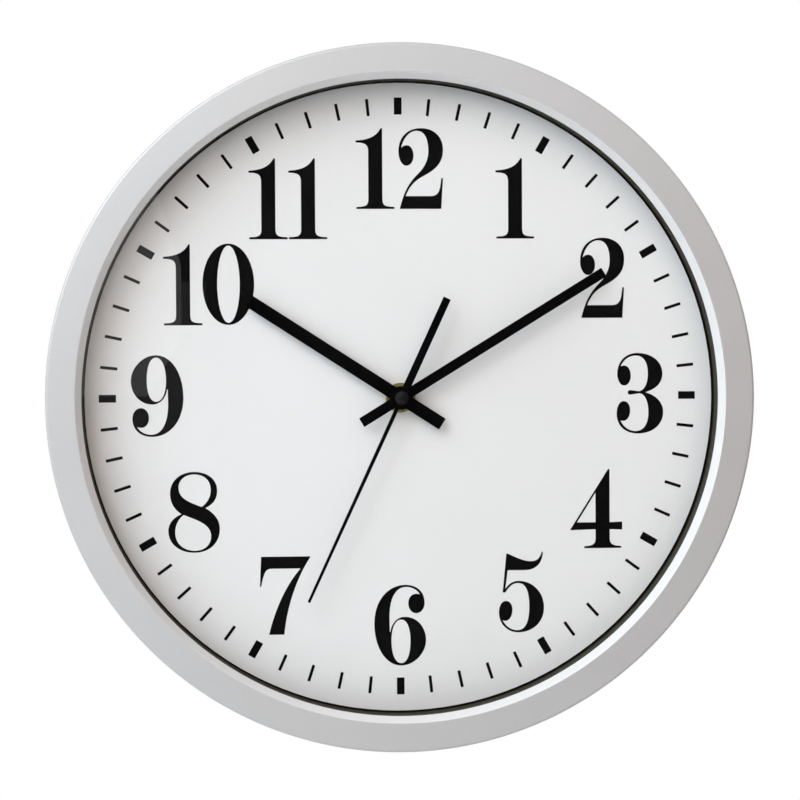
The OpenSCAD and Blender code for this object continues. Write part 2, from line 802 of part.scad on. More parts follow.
// Second hand: thin end, counterweight and hub
module second_hand() {
    color([0.06, 0.06, 0.06]) hung() rotate(-second_angle) difference() {
        union() {
            translate([0, 0, second_sheet_z]) linear_extrude(hand_t) {
                polygon([[-second_w / 2, 0], [second_w / 2, 0],
                    [second_tip_w / 2, second_len], [-second_tip_w / 2, second_len]]);
                translate([-second_tail_w / 2, -second_tail]) square([second_tail_w, second_tail]);
                circle(0.9 * cap_r);
            }
            disc(arbor_r + collet_wall, second_bottom, second_sheet_z);
        }
        hole(arbor_r + fix_gap, second_bottom, second_sheet_z + hand_t);
    }
}

// Domed cap on the end of the second hand's arbor
module second_hand_cap() {
    dome_r = (cap_r * cap_r + cap_h * cap_h) / (2 * cap_h);
    base = second_sheet_z + hand_t;
    color([0.03, 0.03, 0.03]) hung() difference() {
        rotate_extrude() polygon(concat([[0, base]],
            arc([0, base + cap_h - dome_r], dome_r, asin((dome_r - cap_h) / dome_r), 90, 10)));
        disc(arbor_r + fix_gap, base - past, second_top + fix_gap);
    }
}

// A slim arbor with its shoulders between the bridge and the front wall
module train_arbor() {
    disc(arbor_r, bridge_rear, front_inner + pivot_depth - end_shake);
    disc(shoulder_r, bridge_front + end_shake, front_inner - end_shake);
}

// Third wheel, pinion and arbor
module third_wheel() {
    color("ivory") hung() at(third_at, 0) {
        toothed(third_teeth, third_module, level(2), level(2) + wheel_t, third_dir + 180);
        toothed(third_pinion_teeth, centre_module, level(2) + wheel_t, level(3) + wheel_t,
            third_dir + 180, true);
        train_arbor();
    }
}

// Intermediate wheel, pinion and arbor
module intermediate_wheel() {
    color("ivory") hung() at(intermediate_at, 0) {
        toothed(intermediate_teeth, rotor_module, level(0), level(0) + wheel_t, rotor_dir);
        toothed(intermediate_pinion_teeth, second_module, level(0) + wheel_t, level(1) + wheel_t,
            intermediate_dir + 180, true);
        train_arbor();
    }
}

// Rotor pinion and arbor of the step motor
module rotor_pinion() {
    color("white") hung() at(rotor_at, 0) {
        toothed(rotor_teeth, rotor_module, level(0), level(0) + wheel_t, rotor_dir + 180, true);
        train_arbor();
    }
}

// Ring magnet on the rotor's arbor
module rotor_magnet() {
    color("dimgray") hung() at(rotor_at, 0)
        tube(magnet_r, shoulder_r + fix_gap, magnet_z, magnet_z + magnet_h);
}

// Minute wheel and pinion on the post of the movement case
module minute_wheel() {
    wheel_z = motion_z + side_gap;
    wheel_top = motion_z + motion_t - side_gap;
    color("ivory") hung() at(minute_at, 0) difference() {
        union() {
            toothed(minute_teeth, minute_module, wheel_z, wheel_top, minute_dir + 180);
            toothed(minute_pinion_teeth, hour_module, wheel_top, hour_z + hour_wheel_t,
                minute_dir + 180, true);
        }
        hole(arbor_r + run_gap, wheel_z, hour_z + hour_wheel_t);
    }
}

// Setting shaft with its pinion
module setting_shaft() {
    mesh_dir = setting_dir + 180;
    lead = (setting_dir - minute_dir - 180) * minute_teeth / setting_teeth;
    color("ivory") hung() at(setting_at, 0) {
        rotate(lead) toothed(setting_teeth, minute_module, motion_z, motion_z + motion_t, mesh_dir, true);
        disc(setting_shaft_r, move_rear - knob_gap - knob_h, front_inner - end_shake);
        disc(setting_pivot_r, motion_z, front_inner + pivot_depth - end_shake);
        disc(2 * setting_shaft_r, cover_inner + end_shake, bridge_front);
    }
}

// Fluted setting knob on the back
module setting_knob() {
    knob_top = move_rear - knob_gap;
    color([0.1, 0.1, 0.1]) hung() at(setting_at, 0) difference() {
        disc(knob_r, knob_top - knob_h, knob_top);
        hole(setting_shaft_r + fix_gap, knob_top - knob_h, knob_top);
        for (i = [0:knob_flutes - 1])
            rotate(i * 360 / knob_flutes) translate([knob_r, 0, 0])
                hole(flute_r, knob_top - knob_h, knob_top, $fn = 24);
    }
}

// Stator plate round the rotor
module stator() {
    bar_w = 4.5;
    bar_low = rotor_at[1] - bar_w / 3;
    leg_top = coil_y + core_w / 2;
    color("lightslategray") hung() difference() {
        translate([0, 0, stator_z]) linear_extrude(stator_t) union() {
            translate(rotor_at) circle(stator_ring_r);
            translate([leg_left, bar_low]) square([leg_right + leg_w - leg_left, bar_w]);
            for (x = [leg_left, leg_right]) translate([x, bar_low]) square([leg_w, leg_top - bar_low]);
        }
        at(rotor_at, 0) hole(stator_hole_r, stator_z, stator_z + stator_t);
    }
}

// Iron core of the coil
module coil_core() {
    color("slategray") hung() translate([leg_left, coil_y - core_w / 2, core_z])
        cube([leg_right + leg_w - leg_left, core_w, core_t]);
}

// Bobbin with two flanges
module coil_bobbin() {
    side = 2 * coil_r;
    middle = core_z + core_t / 2;
    color("whitesmoke") hung() difference() {
        union() {
            for (x = [coil_left, coil_right - flange_t])
                translate([x, coil_y - side / 2, middle - side / 2]) cube([flange_t, side, side]);
            translate([coil_left, coil_y - core_w / 2 - bobbin_wall, core_z - bobbin_wall])
                cube([coil_right - coil_left, core_w + 2 * bobbin_wall, core_t + 2 * bobbin_wall]);
        }
        translate([coil_left - past, coil_y - core_w / 2 - fix_gap, core_z - fix_gap])
            cube([coil_right - coil_left + 2 * past, core_w + 2 * fix_gap, core_t + 2 * fix_gap]);
    }
}

// Copper winding between the flanges
module coil_winding() {
    middle = core_z + core_t / 2;
    color("chocolate") hung() difference() {
        translate([coil_left + flange_t, coil_y, middle]) rotate([0, 90, 0])
            cylinder(r = coil_r - side_gap, h = coil_right - coil_left - 2 * flange_t);
        translate([coil_left, coil_y - core_w / 2 - bobbin_wall, core_z - bobbin_wall])
            cube([coil_right - coil_left, core_w + 2 * bobbin_wall, core_t + 2 * bobbin_wall]);
    }
}

// Circuit board on the posts of the movement case
module circuit_board() {
    color("seagreen") hung() difference() {
        translate([board_min[0], board_min[1], board_z])
            cube([board_max[0] - board_min[0], board_max[1] - board_min[1], board_t]);
        for (p = board_posts) at(p, 0) hole(post_pin_r + fix_gap, board_z, board_z + board_t);
    }
}

// Quartz crystal can on the board
module quartz_crystal() {
    can_r = 1;
    can_len = 6;
    can_x = board_max[0] - post_inset - can_len;
    color("lightgray") hung() translate([can_x, board_max[1] - post_inset, board_z + board_t + can_r])
        rotate([0, 90, 0]) cylinder(r = can_r, h = can_len);
}

// Moulded cap over the chip
module chip_cap() {
    chip_r = 2.5;
    chip_h = 1.2;
    color([0.05, 0.05, 0.05]) hung()
        at(board_min + [board_w, board_h] * 0.4, board_z + board_t) cylinder(r = chip_r, h = chip_h);
}

// Strip along a side wall from the cell up to the board
module contact_strip(side) {
    x = side * (inner_w / 2 - contact_t / 2);
    low = cell_y - contact_h / 2;
    translate([x - contact_t / 2, low, cell_z - contact_h / 2]) cube([contact_t, contact_h, contact_h]);
    translate([x - contact_t / 2, cell_y, tail_z - tail_h / 2])
        cube([contact_t, tail_top - cell_y, tail_h]);
}

// Positive contact with its boss
module battery_contact_positive() {
    color("lightgoldenrodyellow") hung() {
        contact_strip(1);
        translate([inner_w / 2 - contact_reach, cell_y, cell_z]) rotate([0, 90, 0])
            cylinder(r = button_r - contact_t, h = contact_reach);
    }
}

// Negative contact with a bowed spring leaf, led over the top of the case to the board
module battery_contact_negative() {
    half = contact_h / 2;
    leaf_w = contact_h - 2;
    crest = 1;
    inside = contact_reach - contact_t;
    root = contact_t / 2;
    color("lightgoldenrodyellow") hung() {
        contact_strip(-1);
        translate([-inner_w / 2, cell_y, cell_z - leaf_w / 2]) linear_extrude(leaf_w)
            polygon([[root, -half], [contact_reach, -crest], [contact_reach, crest], [root, half],
                [root, half - crest], [inside, crest / 2], [inside, -crest / 2], [root, crest - half]]);
        translate([-inner_w / 2, tail_top - contact_t, tail_z - tail_h / 2])
            cube([inner_w / 2 + board_min[0] - fix_gap, contact_t, tail_h]);
    }
}

// AA cell, its button to the right
module battery_cell() {
    round_r = 0.6;
    r = cell_d / 2;
    can = cell_len - button_h;
    color("steelblue") hung() translate([-cell_len / 2, cell_y, cell_z]) rotate([0, 90, 0])
        rotate_extrude() polygon(concat([[0, 0]], arc([r - round_r, round_r], round_r, -90, 0, 4),
            arc([r - round_r, can - round_r], round_r, 0, 90, 4),
            [[button_r, can], [button_r, cell_len], [0, cell_len]]));
}

bezel();
lens();
spacer_ring();
dial();
back_plate();
back_screws();
hanger_plate();
hanger_screws();
cushion_washer();
movement_case();
movement_cover();
train_bridge();
bridge_screws();
threaded_bushing();
dial_washer();
hex_nut();
hour_wheel();
hour_hand();
cannon_pinion();
centre_wheel();
minute_hand();
second_wheel();
second_hand();
second_hand_cap();
third_wheel();
intermediate_wheel();
rotor_pinion();
rotor_magnet();
minute_wheel();
setting_shaft();
setting_knob();
stator();
coil_core();
coil_bobbin();
coil_winding();
circuit_board();
quartz_crystal();
chip_cap();
battery_contact_positive();
battery_contact_negative();
battery_cell();
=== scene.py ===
import json
import math

import bmesh
import bpy
from mathutils import Matrix, Vector

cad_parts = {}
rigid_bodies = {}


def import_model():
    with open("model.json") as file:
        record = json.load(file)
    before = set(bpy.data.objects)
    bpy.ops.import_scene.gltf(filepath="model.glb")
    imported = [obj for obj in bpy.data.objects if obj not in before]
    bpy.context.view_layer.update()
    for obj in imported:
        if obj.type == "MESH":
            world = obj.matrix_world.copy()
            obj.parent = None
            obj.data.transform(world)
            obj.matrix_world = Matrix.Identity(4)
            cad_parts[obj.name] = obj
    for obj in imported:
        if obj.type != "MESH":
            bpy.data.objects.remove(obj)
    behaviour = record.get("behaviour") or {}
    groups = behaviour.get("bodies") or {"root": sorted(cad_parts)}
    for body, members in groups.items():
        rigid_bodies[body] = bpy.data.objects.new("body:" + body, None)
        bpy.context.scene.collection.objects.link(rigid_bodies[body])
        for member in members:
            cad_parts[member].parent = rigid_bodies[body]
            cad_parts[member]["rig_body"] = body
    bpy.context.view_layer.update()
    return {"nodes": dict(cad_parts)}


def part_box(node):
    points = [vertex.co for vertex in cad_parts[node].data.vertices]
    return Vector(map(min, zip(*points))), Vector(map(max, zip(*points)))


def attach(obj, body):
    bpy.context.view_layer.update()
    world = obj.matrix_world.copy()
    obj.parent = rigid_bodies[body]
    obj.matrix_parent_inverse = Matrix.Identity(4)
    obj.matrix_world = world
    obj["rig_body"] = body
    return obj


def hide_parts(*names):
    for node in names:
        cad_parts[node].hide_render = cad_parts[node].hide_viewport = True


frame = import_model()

# Movement case, cover and train bridge
# Case and cover are two thin black mouldings that snap together round the train. The bridge is an off-white
# moulding, screwed on four pillars. All three have the fine spark-eroded grain of small moulded pieces.
MM = 0.001
NOISE_LOW, NOISE_HIGH = 0.32, 0.68
MERGE = 0.0005 * MM
FLAT = math.radians(0.4)
EDGE = math.radians(33)
CREASE = math.radians(40)
CASE_ROUND = 0.25 * MM


def effect_group(name, inputs, outputs):
    """An empty shader group: a vector and named values go in, named values come out."""
    group = bpy.data.node_groups.new(name, "ShaderNodeTree")
    group.interface.new_socket("Vector", in_out="INPUT", socket_type="NodeSocketVector")
    for label, value in inputs.items():
        socket = group.interface.new_socket(label, in_out="INPUT", socket_type="NodeSocketFloat")
        socket.default_value = value
    for label in outputs:
        group.interface.new_socket(label, in_out="OUTPUT", socket_type="NodeSocketFloat")
    return group, group.nodes.new("NodeGroupInput"), group.nodes.new("NodeGroupOutput")


def noise(tree, vector, scale, detail=2.0, stretch=0.0):
    """A noise value over a vector. The scale is a number or the socket that brings it."""
    texture = tree.nodes.new("ShaderNodeTexNoise")
    texture.inputs["Detail"].default_value = detail
    texture.inputs["Distortion"].default_value = stretch
    tree.links.new(vector, texture.inputs["Vector"])
    if isinstance(scale, bpy.types.NodeSocket):
        tree.links.new(scale, texture.inputs["Scale"])
    else:
        texture.inputs["Scale"].default_value = scale
    return texture.outputs[0]


moulded_grain, group_in, group_out = effect_group(
    "moulded_grain", {"Grain": 2500.0, "Patches": 60.0}, ["Height", "Mottle"])
grain = noise(moulded_grain, group_in.outputs["Vector"], group_in.outputs["Grain"], 3.0)
patches = noise(moulded_grain, group_in.outputs["Vector"], group_in.outputs["Patches"], 4.0, 0.6)
moulded_grain.links.new(grain, group_out.inputs["Height"])
moulded_grain.links.new(patches, group_out.inputs["Mottle"])


def start_material(name):
    """A material, its tree, its shader and the piece's own coordinates."""
    material = bpy.data.materials.new(name)
    material.use_nodes = True
    tree = material.node_tree
    coordinates = tree.nodes.new("ShaderNodeTexCoord")
    return material, tree, tree.nodes["Principled BSDF"], coordinates.outputs["Object"]


def use_group(tree, group, vector, **values):
    """A shared effect placed in a material with its own values."""
    node = tree.nodes.new("ShaderNodeGroup")
    node.node_tree = group
    tree.links.new(vector, node.inputs["Vector"])
    for label, value in values.items():
        node.inputs[label].default_value = value
    return node.outputs


def tone_ramp(tree, value, socket, stops, interpolation="LINEAR"):
    """A colour that follows a value through a list of stops."""
    ramp = tree.nodes.new("ShaderNodeValToRGB")
    ramp.color_ramp.interpolation = interpolation
    for position, tone in stops[1:-1]:
        ramp.color_ramp.elements.new(position)
    for element, (position, tone) in zip(ramp.color_ramp.elements, stops):
        element.position = position
        element.color = (*tone, 1)
    tree.links.new(value, ramp.inputs[0])
    tree.links.new(ramp.outputs[0], socket)


def tint(tree, shader, value, low, high):
    """Base colour that moves from one tone to another with a value."""
    tone_ramp(tree, value, shader.inputs["Base Color"], [(NOISE_LOW, low), (NOISE_HIGH, high)])


def vary(tree, value, socket, low, high):
    """A shader value that moves between two limits."""
    ramp = tree.nodes.new("ShaderNodeMapRange")
    ramp.inputs["From Min"].default_value = NOISE_LOW
    ramp.inputs["From Max"].default_value = NOISE_HIGH
    ramp.inputs["To Min"].default_value = low
    ramp.inputs["To Max"].default_value = high
    tree.links.new(value, ramp.inputs["Value"])
    tree.links.new(ramp.outputs[0], socket)


def emboss(tree, shader, height, depth, strength=1.0):
    """A bump of a given depth in metres."""
    bump = tree.nodes.new("ShaderNodeBump")
    bump.inputs["Strength"].default_value = strength
    bump.inputs["Distance"].default_value = depth
    tree.links.new(height, bump.inputs["Height"])
    tree.links.new(bump.outputs["Normal"], shader.inputs["Normal"])


def moulded_plastic(name, low, high, roughness, grain=2500.0, depth=0.02 * MM, patches=60.0, mirror=0.5):
    """Moulded plastic with mould grain and slow patches of tone and gloss."""
    material, tree, shader, vector = start_material(name)
    surface = use_group(tree, moulded_grain, vector, Grain=grain, Patches=patches)
    shader.inputs["Specular IOR Level"].default_value = mirror
    tint(tree, shader, surface["Mottle"], low, high)
    vary(tree, surface["Mottle"], shader.inputs["Roughness"], roughness - 0.06, roughness + 0.06)
    emboss(tree, shader, surface["Height"], depth)
    return material


def make_piece(name, shape, materials, body, node=None):
    """A finished bmesh becomes a piece that rides on a body and may stand for a CAD node."""
    mesh = bpy.data.meshes.new(name)
    shape.to_mesh(mesh)
    shape.free()
    for material in materials:
        mesh.materials.append(material)
    mesh.shade_smooth()
    mesh.set_sharp_from_angle(angle=CREASE)
    piece = bpy.data.objects.new(name, mesh)
    bpy.context.scene.collection.objects.link(piece)
    normals = piece.modifiers.new("even_normals", "WEIGHTED_NORMAL")
    normals.keep_sharp = True
    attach(piece, body)
    if node:
        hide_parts(node)
    return piece


def round_edges(shape, edges, width, steps, limit=True):
    """Rounds some edges of a shape to a width."""
    bmesh.ops.bevel(
        shape, geom=edges, offset=width, offset_type="OFFSET", segments=steps, profile=0.5, affect="EDGES",
        clamp_overlap=limit, material=-1)


def rounded_copy(node, width, material, steps=2):
    """A copy of a node's solid whose sharp edges are rounded, in the node's place."""
    shape = bmesh.new()
    shape.from_mesh(frame["nodes"][node].data)
    bmesh.ops.remove_doubles(shape, verts=shape.verts, dist=MERGE)
    bmesh.ops.dissolve_limit(shape, angle_limit=FLAT, verts=shape.verts, edges=shape.edges)
    sharp = [e for e in shape.edges if len(e.link_faces) == 2 and e.calc_face_angle() > EDGE]
    round_edges(shape, sharp, width, steps)
    body = frame["nodes"][node]["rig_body"]
    return make_piece(node + "_rounded", shape, [material], body, node)


def dress(node, material):
    """A CAD node keeps its own mesh and gets a finished material."""
    piece = frame["nodes"][node]
    for place in piece.material_slots:
        place.material = material


movement_black = moulded_plastic("movement_black", (0.018, 0.018, 0.02), (0.03, 0.03, 0.032), 0.45)
bridge_white = moulded_plastic("bridge_white", (0.66, 0.66, 0.62), (0.76, 0.76, 0.71), 0.5)
rounded_copy("movement_case", CASE_ROUND, movement_black)
rounded_copy("movement_cover", CASE_ROUND, movement_black)
dress("train_bridge", bridge_white)

# Wheels of the train and of the motion work
# Moulded in a natural, slightly waxy acetal, with whole teeth. The second wheel's arbor carries the second
# hand, the cannon pinion the minute hand and the hour wheel's tube the hour hand.
acetal = moulded_plastic("acetal", (0.76, 0.75, 0.7), (0.86, 0.85, 0.8), 0.38, 4000.0, 0.008 * MM, 400.0)
for wheel in ("hour_wheel", "cannon_pinion", "centre_wheel", "second_wheel", "third_wheel",
              "intermediate_wheel", "rotor_pinion", "minute_wheel", "setting_shaft"):
    dress(wheel, acetal)

# Step motor
# A sintered ring magnet turns in a stamped stator. The coil is enamelled copper wire, wound on a white
# bobbin over an iron core.
drawn_lines, group_in, group_out = effect_group(
    "drawn_lines", {"Lines": 900.0, "Stains": 90.0}, ["Height", "Stain"])
lines = noise(drawn_lines, group_in.outputs["Vector"], group_in.outputs["Lines"], 2.0)
stains = noise(drawn_lines, group_in.outputs["Vector"], group_in.outputs["Stains"], 3.0, 0.8)
drawn_lines.links.new(lines, group_out.inputs["Height"])
drawn_lines.links.new(stains, group_out.inputs["Stain"])


def rolled_metal(name, low, high, roughness, lines=900.0, stretch=(0.06, 1.0, 1.0), depth=0.006 * MM):
    """Rolled or plated metal: fine lines along one axis and faint stains."""
    material, tree, shader, vector = start_material(name)
    along = tree.nodes.new("ShaderNodeMapping")
    along.inputs["Scale"].default_value = stretch
    tree.links.new(vector, along.inputs["Vector"])
    surface = use_group(tree, drawn_lines, along.outputs["Vector"], Lines=lines)
    shader.inputs["Metallic"].default_value = 1.0
    tint(tree, shader, surface["Stain"], low, high)
    vary(tree, surface["Height"], shader.inputs["Roughness"], roughness - 0.08, roughness + 0.08)
    emboss(tree, shader, surface["Height"], depth)
    return material


def wound_copper(name, turn):
    """Enamelled wire laid turn by turn along the bobbin, with painted shade in the grooves between the turns.
    """
    material, tree, shader, vector = start_material(name)
    wires = tree.nodes.new("ShaderNodeTexWave")
    wires.inputs["Scale"].default_value = math.pi / (10 * turn)
    wires.inputs["Distortion"].default_value = 0.4
    tree.links.new(vector, wires.inputs["Vector"])
    shader.inputs["Metallic"].default_value = 1.0
    shader.inputs["Roughness"].default_value = 0.32
    # Painted shade: the copper is darker in the grooves between turns and lighter on their crowns.
    tint(tree, shader, wires.outputs[0], (0.32, 0.11, 0.04), (0.66, 0.28, 0.12))
    emboss(tree, shader, wires.outputs[0], 0.5 * turn)
    return material


motor_iron = rolled_metal("motor_iron", (0.36, 0.37, 0.39), (0.48, 0.49, 0.5), 0.42)
magnet_grey = moulded_plastic("magnet_grey", (0.07, 0.07, 0.075), (0.13, 0.13, 0.14), 0.55, 6000.0)
bobbin_white = moulded_plastic("bobbin_white", (0.76, 0.76, 0.74), (0.86, 0.86, 0.84), 0.45)
dress("stator", motor_iron)
dress("coil_core", motor_iron)
dress("rotor_magnet", magnet_grey)
dress("coil_bobbin", bobbin_white)
dress("coil_winding", wound_copper("enamelled_copper", 0.12 * MM))

# Circuit board
# A small board with green solder mask over copper tracks, a drawn can for the quartz crystal and a blob of
# black resin over the chip. Two pins of the case hold it.
TRACK = 0.8 * MM


def masked_board(name):
    """Solder mask that is lighter where it covers a track."""
    material, tree, shader, vector = start_material(name)
    turned = tree.nodes.new("ShaderNodeMapping")
    turned.inputs["Rotation"].default_value = (math.radians(90), 0, 0)
    tree.links.new(vector, turned.inputs["Vector"])
    tracks = tree.nodes.new("ShaderNodeTexBrick")
    tracks.inputs["Scale"].default_value = 1.0
    tracks.inputs["Brick Width"].default_value = 6 * TRACK
    tracks.inputs["Row Height"].default_value = 2 * TRACK
    tracks.inputs["Mortar Size"].default_value = 0.35 * TRACK
    tracks.inputs["Color1"].default_value = (0.012, 0.12, 0.055, 1)
    tracks.inputs["Color2"].default_value = (0.014, 0.135, 0.06, 1)
    tracks.inputs["Mortar"].default_value = (0.03, 0.22, 0.1, 1)
    tree.links.new(turned.outputs["Vector"], tracks.inputs["Vector"])
    tree.links.new(tracks.outputs["Color"], shader.inputs["Base Color"])
    surface = use_group(tree, moulded_grain, vector, Grain=3000.0)
    vary(tree, surface["Mottle"], shader.inputs["Roughness"], 0.2, 0.34)
    emboss(tree, shader, tracks.outputs["Fac"], 0.03 * MM)
    return material


dress("circuit_board", masked_board("solder_mask"))
dress("quartz_crystal", rolled_metal("drawn_can", (0.6, 0.6, 0.62), (0.74, 0.74, 0.76), 0.26))
chip_resin = moulded_plastic("chip_resin", (0.012, 0.012, 0.013), (0.03, 0.03, 0.03), 0.4, 900.0, 0.03 * MM)
dress("chip_cap", chip_resin)

# Battery contacts
# Nickel-plated spring strip, stamped and bent. One has a boss for the cell's button and the other a bowed
# leaf that presses on its base.
contact_nickel = rolled_metal("contact_nickel", (0.62, 0.58, 0.48), (0.76, 0.73, 0.64), 0.28)
for contact in ("battery_contact_positive", "battery_contact_negative"):
    rounded_copy(contact, 0.06 * MM, contact_nickel)

# Cell
# A dry cell of the AA size: a steel can in a shrunk plastic sleeve whose ends fold over the rims, a bare
# base and a bare button. The sleeve is plain, with one pale band towards the button.
cell_low, cell_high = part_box("battery_cell")
cell_middle = (cell_low + cell_high) / 2
CELL_R = (cell_high.z - cell_low.z) / 2
CELL_LENGTH = cell_high.x - cell_low.x
SLEEVE_LIP = 0.9 * MM
BASE_R = 4.6 * MM
BUTTON_R = 2.75 * MM
BUTTON_H = 1.3 * MM
END_SINK = 0.3 * MM
END_SLOPE = 0.4 * MM
CELL_ROUND = 0.14 * MM
CELL_STEPS = 96
cell_can = CELL_LENGTH - BUTTON_H
lip_r = CELL_R - SLEEVE_LIP
cell_outline = [
    (0.0, 0.0), (0.0, BASE_R), (END_SINK, BASE_R + END_SLOPE), (END_SINK, lip_r), (0.0, lip_r), (0.0, CELL_R),
    (cell_can, CELL_R), (cell_can, lip_r), (cell_can - END_SINK, lip_r),
    (cell_can - END_SINK, BUTTON_R + END_SLOPE), (cell_can, BUTTON_R), (CELL_LENGTH, BUTTON_R),
    (CELL_LENGTH, 0.0)]
SLEEVE_TONES = [(0.0, (0.035, 0.06, 0.11)), (0.74, (0.62, 0.64, 0.66)), (0.79, (0.1, 0.2, 0.34))]


def along_axis(tree, vector, axis, start, end):
    """How far a point lies between two places on one axis, from 0 to 1."""
    split = tree.nodes.new("ShaderNodeSeparateXYZ")
    part = tree.nodes.new("ShaderNodeMapRange")
    part.inputs["From Min"].default_value = start
    part.inputs["From Max"].default_value = end
    tree.links.new(vector, split.inputs[0])
    tree.links.new(split.outputs[axis], part.inputs["Value"])
    return part.outputs[0]


def sleeve_film(name):
    """Dark film with one pale band and a lighter end, and the fine wrinkles of a shrunk sleeve."""
    material, tree, shader, vector = start_material(name)
    along = along_axis(tree, vector, "X", cell_low.x, cell_high.x)
    tone_ramp(tree, along, shader.inputs["Base Color"], SLEEVE_TONES, "CONSTANT")
    shader.inputs["Metallic"].default_value = 0.25
    surface = use_group(tree, moulded_grain, vector, Grain=300.0, Patches=120.0)
    vary(tree, surface["Mottle"], shader.inputs["Roughness"], 0.2, 0.34)
    emboss(tree, shader, surface["Height"], 0.02 * MM)
    return material


def spun(points, closed, middle, axis, steps):
    """A shape turned from a line of points, which may be closed, about an axis."""
    shape = bmesh.new()
    rim = [shape.verts.new(point) for point in points]
    ends = rim[1:] + rim[:1] if closed else rim[1:]
    wire = [shape.edges.new(pair) for pair in zip(rim, ends)]
    bmesh.ops.spin(
        shape, geom=rim + wire, cent=middle, axis=axis, angle=2 * math.pi, steps=steps, use_merge=True)
    bmesh.ops.remove_doubles(shape, verts=shape.verts, dist=MERGE)
    bmesh.ops.recalc_face_normals(shape, faces=shape.faces)
    return shape


cell_points = [(cell_low.x + x, cell_middle.y + r, cell_middle.z) for x, r in cell_outline]
shape = spun(cell_points, False, cell_middle, (1, 0, 0), CELL_STEPS)
for face in shape.faces:
    middle = face.calc_center_median() - cell_middle
    bare = math.hypot(middle.y, middle.z) < CELL_R - 0.98 * SLEEVE_LIP
    face.material_index = 1 if bare else 0
cell_edges = [e for e in shape.edges if len(e.link_faces) == 2 and e.calc_face_angle() > EDGE]
round_edges(shape, cell_edges, CELL_ROUND, 3)
cell_steel = rolled_metal("cell_steel", (0.58, 0.58, 0.58), (0.7, 0.7, 0.7), 0.3)
sleeve = sleeve_film("cell_sleeve_film")
make_piece("dry_cell", shape, [sleeve, cell_steel], "battery", "battery_cell")

# Signs for the cell's poles
# A plus and a minus stand a little proud of the cover, above the ends of the battery window. They are moulded
# in one with it, in the same black plastic.
SIGN_BAR = 1.3 * MM
SIGN_PROUD = 0.25 * MM
SIGN_ROUND = 0.08 * MM
SIGN_X = 19.5 * MM
SIGN_UP = -8.8 * MM
cover_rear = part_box("movement_cover")[1].y


def thicken(shape, height):
    """Gives a flat shape a thickness, upwards."""
    raised = bmesh.ops.extrude_face_region(shape, geom=shape.faces[:])
    tops = [v for v in raised["geom"] if isinstance(v, bmesh.types.BMVert)]
    bmesh.ops.translate(shape, vec=(0, 0, height), verts=tops)
    bmesh.ops.recalc_face_normals(shape, faces=shape.faces)


for sign_name, sign_x, rows in (("plus_sign", SIGN_X, 3), ("minus_sign", -SIGN_X, 1)):
    shape = bmesh.new()
    place = Matrix.Translation((sign_x, cover_rear, SIGN_UP)) @ Matrix.Rotation(math.radians(-90), 4, "X")
    bmesh.ops.create_grid(shape, x_segments=3, y_segments=rows, size=SIGN_BAR / 2)
    bmesh.ops.scale(shape, vec=(3, rows, 1), verts=shape.verts)
    if rows > 1:
        middles = [(f, f.calc_center_median()) for f in shape.faces]
        corners = [f for f, middle in middles if min(abs(middle.x), abs(middle.y)) > SIGN_BAR / 2]
        bmesh.ops.delete(shape, geom=corners, context="FACES")
    thicken(shape, SIGN_PROUD)
    sign_edges = [e for e in shape.edges if e.calc_face_angle() > EDGE and max(v.co.z for v in e.verts) > 0]
    round_edges(shape, sign_edges, SIGN_ROUND, 2)
    bmesh.ops.transform(shape, matrix=place, verts=shape.verts)
    make_piece(sign_name, shape, [movement_black], "case")

# Setting knob
# A fluted black moulding pressed on the setting shaft. It is turned by a finger to set the hands.
rounded_copy("setting_knob", 0.15 * MM, movement_black)

# Cushion washer
# Punched from soft black rubber sheet. It lies round the bushing, between the movement and the back plate,
# and is squeezed when the nut is tightened.
rubber_sheet = moulded_plastic(
    "rubber_sheet", (0.014, 0.014, 0.014), (0.028, 0.027, 0.026), 0.75, 1500.0, 0.04 * MM)
dress("cushion_washer", rubber_sheet)

# Back plate
# One large moulding in dark grey, with ring ribs, radial ribs, a fence round the movement and the box of the
# hanger. The side that faces the wall has a fine leather-like mould grain.
back_grey = moulded_plastic(
    "back_grey", (0.04, 0.04, 0.043), (0.062, 0.062, 0.066), 0.5, 1600.0, 0.05 * MM, 25.0)
rounded_copy("back_plate", 0.3 * MM, back_grey)

# Hanger plate and screws
# The hanger is a stamped plate of zinc-plated steel with a keyhole. All screws are plated, with a rounded pan
# head and a cross recess.
zinc_plate = rolled_metal("zinc_plate", (0.54, 0.55, 0.56), (0.68, 0.69, 0.71), 0.36)
screw_zinc = rolled_metal("screw_zinc", (0.5, 0.5, 0.51), (0.66, 0.66, 0.67), 0.3, 2500.0, (1.0, 1.0, 1.0))
rounded_copy("hanger_plate", 0.15 * MM, zinc_plate)
for screws in ("hanger_screws", "back_screws"):
    rounded_copy(screws, 0.08 * MM, screw_zinc)
dress("bridge_screws", screw_zinc)

# Dial
# A stiff white sheet with a faintly satin coat, printed in black. It is glued to the front of the back plate
# and held at its edge by the spacer ring.
DIAL_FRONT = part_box("dial")[0].y


def printed_sheet(name):
    """White coated sheet: a very fine tooth and slow, faint changes of tone."""
    material, tree, shader, vector = start_material(name)
    surface = use_group(tree, moulded_grain, vector, Grain=1800.0, Patches=9.0)
    tint(tree, shader, surface["Mottle"], (0.865, 0.865, 0.875), (0.895, 0.895, 0.905))
    vary(tree, surface["Height"], shader.inputs["Roughness"], 0.5, 0.62)
    emboss(tree, shader, surface["Height"], 0.006 * MM)
    return material


dress("dial", printed_sheet("dial_white"))

